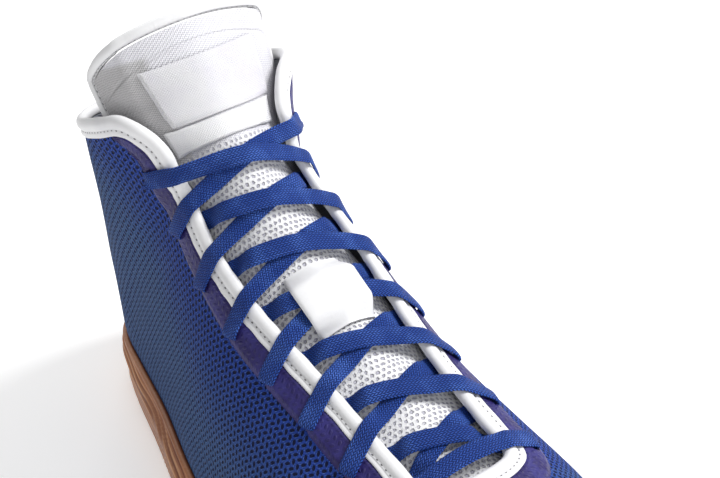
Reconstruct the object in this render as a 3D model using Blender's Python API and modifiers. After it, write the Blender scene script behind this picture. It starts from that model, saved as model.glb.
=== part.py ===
"""A right-foot wrestling shoe: a high mesh upper cemented into a gum rubber cup sole.

X runs from heel to toe, Y to the wearer's left, which is the inner side of a right shoe, and Z up.
The origin is on the ground, below the middle of the shoe.
Every piece is cut from one function, last_point, the inner skin of the upper. It goes through planar
sections that stand across the forefoot and then fan round the ankle until they lie level at the collar.
A point on it is given by a row, counted from the toe, and an angle round the section: 0 at the ridge
of the instep, 180 degrees at the sole or the back, positive on the inner side of the foot.
"""

import math

import bmesh
import bpy
import numpy as np
from mathutils import Vector

# Main sizes, in metres.
LAST_LENGTH = 0.270
BALL_WIDTH = 0.095
HEEL_WIDTH = 0.062
INSTEP_HEIGHT = 0.098
ANKLE_WIDTH = 0.070
SHAFT_HEIGHT = 0.138
WALL = 0.0018
GAP = 0.0003

# Sole: height of its inner floor at heel and ball, toe spring, the rubber's thickness at the side, how
# far the side stands out, its grooves, the upper's seat in it, and the steps of the side: where it meets
# the floor, half the rib, and the height and round of its foot.
FLOOR_HEEL = 0.0085
FLOOR_BALL = 0.0060
TOE_SPRING = 0.010
ARCH_RISE = 0.0030
HEEL_BEVEL = 0.0020
RUBBER = 0.0018
WELT = 0.0042
GROOVE_DEPTH = 0.0013
GROOVE_WIDTH = 0.0022
UPPER_SEAT = 0.0024
SIDE_RISE = 0.0059
RIB_HALF = 0.0008
FOOT_RISE = 0.0034
FOOT_ROUND = 0.0008
INSOLE_THICK = 0.0030
INSOLE_ROOM = 0.0030

# Throat: where it starts on the ridge, as a share of LAST_LENGTH from the heel, its corners, and its
# eyelets, with the share of its length that they take up. APART keeps stations of a mesh apart.
THROAT_START = 0.782
THROAT_ROUND = 0.011
COLLAR_ROUND = 0.013
EYELETS = 8
EYELET_START = 0.0100
EYELET_SPAN = 0.9197
EYELET_INSET = 0.0072
EYELET_DIAMETER = 0.0042
APART = 0.0015

# Overlays and the binding. The roll closes the edge of the upper and its lip lies on the outer side.
OVERLAY_GAP = 0.00045
ROLL_WIDTH = 0.0042
ROLL_THICK = 0.0040
ROLL_LIFT = 0.0007
LIP_WIDTH = 0.0028
LIP_THICK = 0.0006
EYESTAY_WIDTH = 0.0090
EYESTAY_THICK = 0.0005

# Tongue, with the pieces sewn on it.
TONGUE_THICK = 0.0028
TONGUE_PAD = 0.0070
TONGUE_TUCK = 0.012
TONGUE_HEIGHT = 0.024
TONGUE_DEPTH = 0.0004
TONGUE_DROP = 0.0028
TONGUE_EDGE = 0.0018
TONGUE_ROLL = 0.0038
TONGUE_ROLL_START = 0.80
PAD_START = 0.012
PAD_RAMP = 0.022
LABEL_THICK = 0.0006
LABEL_FROM = -0.0053
LABEL_TO = 0.017
LABEL_OUTER = 0.015
LABEL_INNER = 0.022
BAND_BELOW = 0.0130
BAND_WIDTH = 0.0070
BAND_HALF = 0.021
KEEPER_EYELET = 5
KEEPER_BELOW = 0.0025
KEEPER_WIDTH = 0.020
KEEPER_LENGTH = 0.0220
KEEPER_THICK = 0.0009

# Lace, a flat woven one.
LACE_WIDTH = 0.0060
LACE_THICK = 0.0012

# Middle of the upper and of the lower lace of a crossing over the inner skin, the clearance over a
# crossing, and the share of a lace between the rolls that lies flat.
LACE_UNDER = 0.0011
LACE_OVER = 0.0021
OVER_CROSSING = LACE_OVER + LACE_THICK / 2 + 2 * GAP
LACE_FLAT = 0.62

# Angles round a section where the tables below give the distance from the heel-to-ball axis.
ANGLES = (45, 90, 130, 160)

# Columns: name, ridge x, ridge y, ridge z, base x, base z, four outer and four inner distances at
# ANGLES. Places along the last are shares of LAST_LENGTH from the heel. A base on the floor of the
# sole has None for its height. FOOT takes its distances from BALL_WIDTH and its heights from
# INSTEP_HEIGHT, HEEL from HEEL_WIDTH and INSTEP_HEIGHT, SHAFT from ANKLE_WIDTH and SHAFT_HEIGHT. The
# ridge of HEEL and SHAFT is given as a share of the way from INSTEP_HEIGHT up to SHAFT_HEIGHT.
FOOT = (
    ("toe tip", 1.000, 0.085, 0.195, 1.000, 0.195, 0.085, 0.085, 0.085, 0.085, 0.085, 0.085, 0.085, 0.085),
    ("toe 1", 0.992, 0.085, 0.270, 0.985, None, 0.010, -0.040, -0.060, -0.050, 0.155, 0.210, 0.230, 0.220),
    ("toe 2", 0.967, 0.085, 0.350, 0.952, None, -0.060, -0.145, -0.175, -0.155, 0.215, 0.305, 0.335, 0.315),
    ("toe 3", 0.922, 0.085, 0.410, 0.905, None, -0.105, -0.240, -0.285, -0.262, 0.260, 0.375, 0.410, 0.388),
    ("toe 4", 0.856, 0.075, 0.475, 0.842, None, -0.155, -0.335, -0.388, -0.360, 0.285, 0.425, 0.460, 0.440),
    ("ball front", 0.770, 0.065, 0.548, 0.760, None, -0.200, -0.405, -0.458, -0.435, 0.300, 0.450, 0.492, 0.470),
    ("ball", 0.681, 0.055, 0.640, 0.674, None, -0.230, -0.435, -0.495, -0.470, 0.290, 0.435, 0.480, 0.450),
    ("waist 1", 0.604, 0.045, 0.748, 0.578, None, -0.240, -0.430, -0.490, -0.460, 0.275, 0.400, 0.425, 0.380),
    ("waist 2", 0.544, 0.030, 0.860, 0.474, None, -0.245, -0.410, -0.462, -0.438, 0.270, 0.370, 0.375, 0.315),
    ("instep", 0.497, 0.018, 0.970, 0.363, None, -0.242, -0.375, -0.418, -0.394, 0.265, 0.350, 0.338, 0.285),
)
HEEL = (
    ("ankle low", 0.459, 0.008, 0.1764, 0.237, None, -0.362, -0.500, -0.536, -0.506, 0.378, 0.490, 0.500, 0.455),
    ("heel 1", 0.434, 0.000, 0.3675, 0.126, None, -0.358, -0.452, -0.474, -0.436, 0.366, 0.465, 0.492, 0.450),
    ("heel 2", 0.417, -0.006, 0.5194, 0.047, 0.100, -0.353, -0.428, -0.436, -0.356, 0.360, 0.448, 0.480, 0.405),
    ("heel back", 0.405, -0.012, 0.6321, 0.012, 0.160, -0.350, -0.420, -0.404, -0.270, 0.355, 0.440, 0.448, 0.308),
)
SHAFT = (
    ("counter", 0.396, -0.014, 0.7240, 0.006, 0.266, -0.338, -0.394, -0.344, -0.188, 0.335, 0.410, 0.370, 0.206),
    ("heel bone", 0.388, -0.018, 0.8034, 0.022, 0.415, -0.346, -0.406, -0.338, -0.180, 0.340, 0.414, 0.346, 0.176),
    ("tendon", 0.380, -0.022, 0.8827, 0.054, 0.570, -0.358, -0.428, -0.344, -0.184, 0.352, 0.430, 0.346, 0.166),
    ("collar low", 0.372, -0.026, 0.9655, 0.091, 0.720, -0.372, -0.450, -0.360, -0.192, 0.368, 0.448, 0.360, 0.174),
    ("collar", 0.363, -0.030, 1.0518, 0.127, 0.862, -0.384, -0.466, -0.374, -0.202, 0.382, 0.464, 0.372, 0.180),
    ("above 1", 0.347, -0.032, 1.3105, 0.144, 0.960, -0.388, -0.474, -0.382, -0.208, 0.390, 0.472, 0.378, 0.184),
    ("above 2", 0.329, -0.034, 1.5796, 0.161, 1.058, -0.388, -0.474, -0.382, -0.208, 0.392, 0.474, 0.380, 0.185),
    ("above 3", 0.309, -0.036, 1.8418, 0.178, 1.156, -0.388, -0.474, -0.382, -0.208, 0.392, 0.474, 0.380, 0.185),
)

# Columns: share of the throat from its start to the collar, half its width as a share of BALL_WIDTH.
THROAT_HALF = (
    (0.00, 0.180),
    (0.15, 0.185),
    (0.30, 0.198),
    (0.45, 0.222),
    (0.60, 0.252),
    (0.75, 0.268),
    (0.90, 0.252),
    (1.00, 0.228),
)

# Columns: share of the throat from its start, half the tongue's width as a share of BALL_WIDTH.
TONGUE_HALF = (
    (0.0, 0.263),
    (0.5, 0.337),
    (0.8, 0.400),
    (1.0, 0.432),
    (1.2, 0.453),
)

# Columns: share of LAST_LENGTH from the heel, height of the rubber's top edge over the sole's floor,
# height of the rib below it, both as shares of WRAP_HEIGHT, and how far the side stands out there as
# a share of WELT.
WRAP_HEIGHT = 0.016
SOLE_SIDE = (
    (-0.02, 0.74, 0.44, 0.80),
    (0.08, 0.68, 0.40, 0.95),
    (0.22, 0.60, 0.36, 1.24),
    (0.40, 0.52, 0.30, 1.38),
    (0.60, 0.60, 0.34, 1.12),
    (0.78, 0.72, 0.42, 1.00),
    (0.92, 0.95, 0.55, 0.85),
    (1.02, 1.15, 0.66, 0.75),
)

# Columns: share of LAST_LENGTH from the heel, skew of the groove across the sole in degrees.
GROOVES = (
    (0.09, -14),
    (0.15, -10),
    (0.21, -6),
    (0.27, -2),
    (0.60, 4),
    (0.66, 8),
    (0.72, 12),
    (0.78, 16),
    (0.84, 20),
    (0.90, 24),
)

# Columns of the upper's facets on each side, as shares of the way from the edge of its opening to the
# sole. They lie closer at the edge, where the laces pass, and above the sole, where the skin turns in.
UPPER_COLUMNS = np.array((0.0, 0.08, 0.20, 0.36, 0.54, 0.72, 0.86, 0.945, 1.0))

KNOTS = np.array((-180,) + tuple(-a for a in reversed(ANGLES)) + (0,) + ANGLES + (180,), float)
COLLAR = len(FOOT) + len(HEEL) + 4


def ease(share):
    """0 below 0, 1 above 1 and smooth between."""
    share = np.clip(share, 0.0, 1.0)
    return share * share * (3.0 - 2.0 * share)


def floor_height(x):
    """Height of the sole's inner floor at a distance x from the heel."""
    along = np.asarray(x, float) / LAST_LENGTH
    level = FLOOR_HEEL + (FLOOR_BALL - FLOOR_HEEL) * ease((along - 0.30) / 0.38)
    return level + TOE_SPRING * np.clip((along - 0.74) / 0.26, 0.0, 2.0) ** 2


def ground_height(x):
    """Height of the sole's underside: flat at heel and forefoot, raised at the arch, back and toe."""
    along = np.asarray(x, float) / LAST_LENGTH
    arch = ARCH_RISE * ease((along - 0.28) / 0.10) * ease((0.60 - along) / 0.10)
    toe = TOE_SPRING * np.clip((along - 0.79) / 0.21, 0.0, 2.0) ** 2
    back = HEEL_BEVEL * np.clip((0.04 - along) / 0.05, 0.0, 2.0) ** 2
    return arch + toe + back


def section_rows():
    """One row of numbers a section: ridge x and z, base x and z, then the distances at KNOTS."""
    made = []
    for table, width, height in (
        (FOOT, BALL_WIDTH, INSTEP_HEIGHT),
        (HEEL, HEEL_WIDTH, INSTEP_HEIGHT),
        (SHAFT, ANKLE_WIDTH, SHAFT_HEIGHT),
    ):
        for _, ridge_x, ridge_y, ridge_z, base_x, base_z, *sides in table:
            base_x *= LAST_LENGTH
            base_z = float(floor_height(base_x)) if base_z is None else base_z * height
            outer = [share * width for share in sides[:4]]
            inner = [share * width for share in sides[4:]]
            base_y = (outer[3] + inner[3]) / 2
            distances = [base_y] + outer[::-1] + [ridge_y * width] + inner + [base_y]
            if table is FOOT:
                ridge_z *= INSTEP_HEIGHT
            else:
                ridge_z = INSTEP_HEIGHT + (SHAFT_HEIGHT - INSTEP_HEIGHT) * ridge_z
            made.append([ridge_x * LAST_LENGTH, ridge_z, base_x, base_z] + distances)
    rows = np.array(made)
    # The row before the toe tip mirrors the one after it, so that the toe closes round.
    before = 2 * rows[0] - rows[1]
    before[[0, 2]] = rows[1][[0, 2]]
    return np.vstack([before, rows, 2 * rows[-1] - rows[-2]])


ROWS = section_rows()
LAST_ROW = len(ROWS) - 3


def section_at(row):
    """The section at a row, by a Catmull-Rom curve through the rows."""
    row = np.clip(np.asarray(row, float), 0.0, LAST_ROW - 1e-9)
    index = np.floor(row).astype(int)
    part = (row - index)[..., None]
    a, b, c, d = (ROWS[index + step] for step in range(4))
    return b + 0.5 * part * (c - a + part * (2 * a - 5 * b + 4 * c - d + part * (3 * (b - c) + d - a)))


def slopes_round(values):
    """Slope of the distances at each knot round a section, level where they turn back."""
    step = np.diff(KNOTS)
    rise = np.diff(values, axis=-1) / step
    before = np.concatenate([rise[..., -1:], rise], axis=-1)
    after = np.concatenate([rise, rise[..., :1]], axis=-1)
    wide = np.concatenate([step[-1:], step])
    narrow = np.concatenate([step, step[:1]])
    weight_a = 2 * narrow + wide
    weight_b = narrow + 2 * wide
    same = before * after > 0
    safe_before = np.where(same, before, 1.0)
    safe_after = np.where(same, after, 1.0)
    mean = (weight_a + weight_b) / (weight_a / safe_before + weight_b / safe_after)
    return np.where(same, mean, 0.0)


def distance_round(values, angle):
    """The distance from the axis at an angle, on a smooth closed curve through the knots."""
    slope = slopes_round(values)
    index = np.clip(np.searchsorted(KNOTS, angle, side="right") - 1, 0, len(KNOTS) - 2)
    step = KNOTS[index + 1] - KNOTS[index]
    part = (angle - KNOTS[index]) / step

    def pick(table, place):
        return np.take_along_axis(table, place[..., None], -1)[..., 0]

    start, end = pick(values, index), pick(values, index + 1)
    slope_start, slope_end = pick(slope, index), pick(slope, index + 1)
    square, cube = part * part, part**3
    return (
        start * (2 * cube - 3 * square + 1)
        + slope_start * step * (cube - 2 * square + part)
        + end * (3 * square - 2 * cube)
        + slope_end * step * (cube - square)
    )


def last_point(row, angle):
    """Points of the upper's inner skin, for arrays of rows and angles."""
    row, angle = np.broadcast_arrays(np.asarray(row, float), np.asarray(angle, float))
    angle = (angle + 180.0) % 360.0 - 180.0
    section = section_at(row)
    down = (1 - np.cos(np.radians(angle))) / 2
    x = section[..., 0] + (section[..., 2] - section[..., 0]) * down
    z = section[..., 1] + (section[..., 3] - section[..., 1]) * down
    y = distance_round(section[..., 4:], angle)
    return np.stack([x, y, z], -1)


def slopes_at(row, angle):
    """How a point moves with the row and with the angle."""
    row = np.clip(np.asarray(row, float), 0.03, LAST_ROW - 0.03)
    by_row = (last_point(row + 0.02, angle) - last_point(row - 0.02, angle)) / 0.04
    by_angle = (last_point(row, angle + 1.0) - last_point(row, angle - 1.0)) / 2.0
    return by_row, by_angle


def normal_at(row, angle):
    row, angle = np.broadcast_arrays(np.asarray(row, float), np.asarray(angle, float))
    by_row, by_angle = slopes_at(row, angle)
    normal = np.cross(by_angle, by_row)
    return normal / np.linalg.norm(normal, axis=-1, keepdims=True)


def skin(row, angle, offset):
    """A point at an offset from the inner skin, outwards where positive."""
    return last_point(row, angle) + normal_at(row, angle) * np.asarray(offset, float)[..., None]


def arc_lengths(points):
    steps = np.linalg.norm(np.diff(points, axis=0), axis=-1)
    return np.concatenate([[0.0], np.cumsum(steps)])


RIDGE_ROWS = np.linspace(0.0, LAST_ROW, 40 * LAST_ROW + 1)
RIDGE_LENGTHS = arc_lengths(last_point(RIDGE_ROWS, 0.0))
THROAT_ROW = float(np.interp(-THROAT_START * LAST_LENGTH, -last_point(RIDGE_ROWS, 0.0)[:, 0], RIDGE_ROWS))
THROAT_AT = float(np.interp(THROAT_ROW, RIDGE_ROWS, RIDGE_LENGTHS))
THROAT_LENGTH = float(np.interp(COLLAR, RIDGE_ROWS, RIDGE_LENGTHS)) - THROAT_AT


def row_along(distance):
    """The row at a distance along the ridge from the start of the throat towards the collar."""
    return np.interp(THROAT_AT + np.asarray(distance, float), RIDGE_LENGTHS, RIDGE_ROWS)


def along_row(row):
    """The distance along the ridge from the start of the throat to a row."""
    return np.interp(row, RIDGE_ROWS, RIDGE_LENGTHS) - THROAT_AT


GIRTH_ANGLES = np.linspace(0.0, 150.0, 76)


def angle_at_girth(row, girth):
    """The angle at a distance round the section from the ridge, for arrays of rows and girths."""
    row, girth = np.broadcast_arrays(np.asarray(row, float), np.asarray(girth, float))
    found = np.empty(row.shape)
    for place in np.ndindex(row.shape):
        side = -1.0 if girth[place] < 0 else 1.0
        lengths = arc_lengths(last_point(row[place], side * GIRTH_ANGLES))
        found[place] = side * np.interp(abs(girth[place]), lengths, GIRTH_ANGLES)
    return found


def girth_at_angle(row, angle):
    side = -1.0 if angle < 0 else 1.0
    lengths = arc_lengths(last_point(row, side * GIRTH_ANGLES))
    return side * float(np.interp(abs(angle), GIRTH_ANGLES, lengths))


def throat_half(distance):
    """Half the width of the upper's throat, along the skin, at a distance from its start."""
    shares, halves = np.array(THROAT_HALF).T
    half = np.interp(distance / THROAT_LENGTH, shares, halves) * BALL_WIDTH
    start = np.clip(1.0 - distance / THROAT_ROUND, 0.0, 1.0)
    half = half * (1.0 - start**2.4) ** (1 / 2.4)
    end = np.clip((distance - THROAT_LENGTH + COLLAR_ROUND) / COLLAR_ROUND, 0.0, 1.0)
    return half + COLLAR_ROUND * (1.0 - np.sqrt(1.0 - end**2))


def throat_stations(heel_step=0.5):
    """Distances along the throat, close together where its edge turns and where the heel curves."""
    turn = np.linspace(0.0, math.pi / 2, 6)
    start = THROAT_ROUND * (1.0 - np.cos(turn))
    end = THROAT_LENGTH - COLLAR_ROUND + COLLAR_ROUND * np.sin(turn)
    instep = len(FOOT)
    heel = instep + len(HEEL)
    rows = np.concatenate(
        [np.arange(5.0, instep, 0.5), np.arange(instep, heel, heel_step), np.arange(heel, COLLAR, 1.0)]
    )
    middle = along_row(rows)
    middle = middle[(middle > start[-1] + APART) & (middle < end[0] - APART)]
    return np.concatenate([start, middle, end])


def feather_angle(row, rise):
    """The angle where the skin is at a height over the floor of the sole."""
    section = section_at(row)
    ridge, base = section[..., 1], section[..., 3]
    level = floor_height(section[..., 2]) + rise
    down = np.clip((ridge - level) / np.maximum(ridge - base, 1e-6), 0.0, 1.0)
    return np.degrees(np.arccos(1 - 2 * down))


def walk(row, angle, away, distance):
    """Moves along the skin by a distance, at right angles to an edge whose direction is given."""
    steps = 4
    for _ in range(steps):
        by_row, by_angle = slopes_at(row, angle)
        normal = np.cross(by_angle, by_row)
        normal = normal / np.linalg.norm(normal, axis=-1, keepdims=True)
        heading = away - normal * np.sum(away * normal, axis=-1, keepdims=True)
        heading = heading / np.linalg.norm(heading, axis=-1, keepdims=True)
        aa = np.sum(by_row * by_row, axis=-1)
        ab = np.sum(by_row * by_angle, axis=-1)
        bb = np.sum(by_angle * by_angle, axis=-1)
        ra = np.sum(by_row * heading, axis=-1)
        rb = np.sum(by_angle * heading, axis=-1)
        det = aa * bb - ab * ab
        row = row + (ra * bb - rb * ab) / det * distance / steps
        angle = angle + (aa * rb - ab * ra) / det * distance / steps
    return row, angle


def edge_loop():
    """Rows and angles of the upper's edge: up the outer side of the throat, round the collar, down."""
    along = throat_stations()
    rows = row_along(along)
    outer = angle_at_girth(rows, -throat_half(along))
    inner = angle_at_girth(rows, throat_half(along))
    outer_back = 360.0 + outer[-1] - (180.0 + outer[-1]) * UPPER_COLUMNS[1:]
    inner_back = inner[-1] + (180.0 - inner[-1]) * UPPER_COLUMNS[-2:0:-1]
    back = np.concatenate([outer_back, inner_back])
    edge_rows = np.concatenate([rows, np.full(len(back), float(COLLAR)), rows[:0:-1]])
    edge_angles = np.concatenate([outer, back, inner[:0:-1]])
    return edge_rows, edge_angles


def edge_away(rows, angles, closed=True):
    """At each point of an edge, the direction along the skin away from the opening."""
    points = last_point(rows, angles)
    if closed:
        tangent = np.roll(points, -1, axis=0) - np.roll(points, 1, axis=0)
    else:
        tangent = np.gradient(points, axis=0)
    away = np.cross(normal_at(rows, angles), tangent)
    return away / np.linalg.norm(away, axis=-1, keepdims=True)


def clear_scene():
    for item in list(bpy.data.objects):
        bpy.data.objects.remove(item, do_unlink=True)


def make_collection(name):
    collection = bpy.data.collections.new(name)
    bpy.context.scene.collection.children.link(collection)
    return collection


def make_material(name, color, roughness, metallic=0.0):
    material = bpy.data.materials.new(name)
    material.use_nodes = True
    shader = material.node_tree.nodes["Principled BSDF"]
    shader.inputs["Base Color"].default_value = (*color, 1.0)
    shader.inputs["Roughness"].default_value = roughness
    shader.inputs["Metallic"].default_value = metallic
    material.diffuse_color = (*color, 1.0)
    return material


def finish_object(name, mesh_data, collection, material, sharp=40.0):
    """Turns a bmesh into an object with faces out, smooth but for its sharp edges."""
    bmesh.ops.remove_doubles(mesh_data, verts=mesh_data.verts, dist=1e-6)
    bmesh.ops.recalc_face_normals(mesh_data, faces=mesh_data.faces)
    if mesh_data.calc_volume(signed=True) < 0:
        bmesh.ops.reverse_faces(mesh_data, faces=mesh_data.faces)
    mesh = bpy.data.meshes.new(name)
    mesh_data.to_mesh(mesh)
    mesh_data.free()
    mesh.shade_smooth()
    mesh.set_sharp_from_angle(angle=math.radians(sharp))
    item = bpy.data.objects.new(name, mesh)
    item.data.materials.append(material)
    collection.objects.link(item)
    return item


def loft(rings, closed_path=False, closed_ring=True, caps=True):
    """A bmesh over an array of rings of points: one ring a station along the path."""
    shape = bmesh.new()
    grid = [[shape.verts.new(Vector(point)) for point in ring] for ring in rings]
    stations = len(grid)
    size = len(grid[0])
    for i in range(stations if closed_path else stations - 1):
        here, there = grid[i], grid[(i + 1) % stations]
        for j in range(size if closed_ring else size - 1):
            k = (j + 1) % size
            corners = [here[j], here[k], there[k], there[j]]
            places = []
            for corner in corners:
                if all((corner.co - other.co).length > 1e-7 for other in places):
                    places.append(corner)
            if len(places) > 2:
                shape.faces.new(places)
    if caps and not closed_path:
        shape.faces.new(grid[0])
        shape.faces.new(grid[-1])
    return shape


def overlay(rows, angles, low, high, closed_path=False):
    """A thin solid on the skin. Rows and angles are arrays of stations by columns."""
    under = skin(rows, angles, np.full(np.shape(rows), 1.0) * low)
    over = skin(rows, angles, np.full(np.shape(rows), 1.0) * high)
    rings = np.concatenate([under, over[:, ::-1]], axis=1)
    return loft(rings, closed_path=closed_path)


def outline(rise, out, level=None, count=27):
    """A closed ring round the shoe where the skin is at a height over the sole's floor.

    The ring runs from the toe along the outer side to the heel and back along the inner side.
    Rise is a height or a function of the distance from the heel. Level moves the ring to a height.
    """
    def height(row):
        return rise(section_at(row)[..., 2]) if callable(rise) else rise

    def over_base(row):
        section = section_at(row)
        return section[..., 3] - floor_height(section[..., 2]) - height(row)

    def over_ridge(row):
        section = section_at(row)
        return section[..., 1] - floor_height(section[..., 2]) - height(row)

    toe = np.linspace(0.0, 3.0, 301)
    if over_base(0.0) > 0:
        first = float(toe[np.argmax(over_base(toe) <= 0)])
    else:
        first = float(toe[np.argmax(over_ridge(toe) > 0)])
    heel = np.linspace(len(FOOT) + 1.0, COLLAR, 801)
    last = float(heel[np.argmax(over_base(heel) > 0)])
    share = (1.0 - np.cos(np.linspace(0.0, math.pi, 121))) / 2
    rows = first + (last - first) * share
    angles = feather_angle(rows, height(rows))
    angles[0] = round(angles[0] / 180.0) * 180.0
    angles[-1] = 180.0
    sides = []
    for side in (-1.0, 1.0):
        points = skin(rows, side * angles, np.full(len(rows), out))
        lengths = arc_lengths(points)
        turn = np.linspace(0.0, 1.0, count + 1)
        even = lengths[-1] * (0.45 * turn + 0.55 * (1.0 - np.cos(math.pi * turn)) / 2)
        sides.append(np.stack([np.interp(even, lengths, points[:, k]) for k in range(3)], -1))
    middle_toe = (sides[0][:1] + sides[1][:1]) / 2
    middle_heel = (sides[0][-1:] + sides[1][-1:]) / 2
    ring = np.concatenate([middle_toe, sides[0][1:-1], middle_heel, sides[1][-2:0:-1]])
    if level is not None:
        ring[:, 2] = level(ring[:, 0])
    return ring


def close_across(shape, ring):
    """Fills a ring made by outline with faces from its outer to its inner side."""
    count = len(ring)
    for i in range(count // 2):
        corners = [ring[i], ring[i + 1], ring[-i - 1], ring[-i]]
        if i == 0:
            corners = [ring[0], ring[1], ring[-1]]
        elif i == count // 2 - 1:
            corners = [ring[i], ring[i + 1], ring[i + 2]]
        shape.faces.new(corners)


def stack_of_outlines(rings):
    """A closed bmesh from outlines stacked one over the other."""
    shape = loft(rings, caps=False)
    shape.verts.ensure_lookup_table()
    count = len(rings[0])
    close_across(shape, [shape.verts[i] for i in range(count)])
    close_across(shape, [shape.verts[i - count] for i in range(count)])
    return shape


def side_share(column):
    places = [row[0] * LAST_LENGTH for row in SOLE_SIDE]
    shares = [row[column] for row in SOLE_SIDE]
    return lambda x: np.interp(x, places, shares)


def build_outsole(collection, cutters, material):
    """The cup sole: floor, wrapped edge, rib, side and a grooved underside."""
    wrap, rib, stand = side_share(1), side_share(2), side_share(3)
    inside = WALL + 2 * GAP

    def top(x):
        return WRAP_HEIGHT * wrap(x)

    def rib_height(lift):
        return lambda x: WRAP_HEIGHT * rib(x) + lift

    def side(ring, share):
        """Pushes a ring out by the stand of the side at each place."""
        centre = np.stack([np.roll(ring, -1, axis=0), np.roll(ring, 1, axis=0)])
        tangent = centre[0] - centre[1]
        out = np.cross(tangent, (0.0, 0.0, 1.0))
        out = -out / np.linalg.norm(out, axis=-1, keepdims=True)
        return ring + out * (WELT * share * stand(ring[:, 0]))[:, None]

    def middle(x):
        return (SIDE_RISE + top(x)) / 2

    def foot(height):
        return lambda x: ground_height(x) + height

    # Each line is a ring of the section. The last number of side is its share of the side's stand.
    rings = [
        outline(UPPER_SEAT, inside + 4 * GAP, level=floor_height),
        outline(UPPER_SEAT, inside + 4 * GAP),
        outline(SIDE_RISE, inside + 3 * GAP),
        outline(middle, inside),
        outline(top, inside),
        outline(top, inside + RUBBER * 0.75),
        outline(rib_height(2.5 * RIB_HALF), inside + RUBBER),
        side(outline(rib_height(RIB_HALF), inside), 0.86),
        side(outline(rib_height(-RIB_HALF), inside), 0.90),
        side(outline(rib_height(-2 * RIB_HALF), inside), 0.62),
        side(outline(SIDE_RISE, inside, level=floor_height), 0.80),
        side(outline(SIDE_RISE, inside, level=foot(FOOT_RISE)), 1.00),
        side(outline(SIDE_RISE, inside, level=foot(FOOT_ROUND)), 0.92),
        side(outline(SIDE_RISE, inside, level=ground_height), 0.74),
    ]
    outsole = finish_object("outsole", stack_of_outlines(rings), collection, material)
    for number, (share, skew) in enumerate(GROOVES, start=1):
        x = share * LAST_LENGTH
        bpy.ops.mesh.primitive_cube_add(size=1.0)
        groove = bpy.context.object
        groove.name = f"groove_{number}"
        groove.dimensions = (GROOVE_WIDTH, 2 * BALL_WIDTH, 2 * RUBBER)
        groove.location = (x, 0.0, float(ground_height(x)) + GROOVE_DEPTH - RUBBER)
        groove.rotation_euler = (0.0, 0.0, math.radians(skew))
        hide_cutter(groove, cutters)
        cut = outsole.modifiers.new(groove.name, "BOOLEAN")
        cut.operation = "DIFFERENCE"
        cut.object = groove
    return outsole


def hide_cutter(item, cutters):
    for holder in list(item.users_collection):
        holder.objects.unlink(item)
    cutters.objects.link(item)
    item.hide_render = True
    item.display_type = "WIRE"


def build_insole(collection, material):
    def raised(lift):
        return outline(UPPER_SEAT, -INSOLE_ROOM, level=lambda x: floor_height(x) + GAP + lift)

    insole = stack_of_outlines([raised(0.0), raised(INSOLE_THICK)])
    return finish_object("insole", insole, collection, material)


def build_upper(collection, material):
    """The hollow upper: an open surface from the throat's edge down to the sole, with Solidify."""
    front = (0.0, 0.3, 0.65, 1.0, 1.5, 2.0, 2.6, 3.3)
    toe_rows = np.concatenate([front, np.linspace(4.0, THROAT_ROW, 3)[:-1]])
    along = throat_stations(heel_step=0.25)
    rows = np.concatenate([toe_rows, row_along(along)])
    halves = np.concatenate([np.zeros(len(toe_rows)), throat_half(along)])
    feather = feather_angle(rows, UPPER_SEAT)
    shape = bmesh.new()
    for side in (-1.0, 1.0):
        start = np.abs(angle_at_girth(rows, side * halves))
        angles = side * (start[:, None] + (feather - start)[:, None] * UPPER_COLUMNS)
        half = loft(last_point(rows[:, None], angles), closed_ring=False, caps=False)
        mesh = bpy.data.meshes.new("half")
        half.to_mesh(mesh)
        half.free()
        shape.from_mesh(mesh)
        bpy.data.meshes.remove(mesh)
    upper = finish_object("upper", shape, collection, material)
    solidify = upper.modifiers.new("wall", "SOLIDIFY")
    solidify.thickness = WALL
    solidify.offset = 1.0
    solidify.use_even_offset = True
    return upper


def eyelet_places():
    """Row and angle of each eyelet on each side, counted from the collar down."""
    along = throat_stations()
    rows = row_along(along)
    places = {}
    for side, name in ((-1.0, "outer"), (1.0, "inner")):
        angles = angle_at_girth(rows, side * throat_half(along))
        away = edge_away(rows, angles, closed=False) * -side
        line_rows, line_angles = walk(rows, angles, away, EYELET_INSET)
        lengths = arc_lengths(last_point(line_rows, line_angles))
        first = np.interp(EYELET_START, along, lengths)
        at = first + EYELET_SPAN * THROAT_LENGTH * np.linspace(1.0, 0.0, EYELETS)
        eyelet_rows = np.interp(at, lengths, line_rows)
        eyelet_angles = np.interp(at, lengths, line_angles)
        places[name] = list(zip(eyelet_rows, eyelet_angles))
    return places


def punch_eyelets(items, places, cutters):
    """Cuts the lace holes through the upper and the eyestay."""
    for name, points in places.items():
        for number, (row, angle) in enumerate(points, start=1):
            centre = Vector(skin(row, angle, 0.0))
            normal = Vector(normal_at(row, angle))
            bpy.ops.mesh.primitive_cylinder_add(vertices=8, radius=EYELET_DIAMETER / 2, depth=8 * WALL)
            hole = bpy.context.object
            hole.name = f"eyelet_{name}_{number}"
            hole.location = centre
            hole.rotation_euler = normal.to_track_quat("Z", "Y").to_euler()
            hide_cutter(hole, cutters)
    for item in items:
        cut = item.modifiers.new("eyelets", "BOOLEAN")
        cut.operation = "DIFFERENCE"
        cut.operand_type = "COLLECTION"
        cut.collection = cutters


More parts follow.
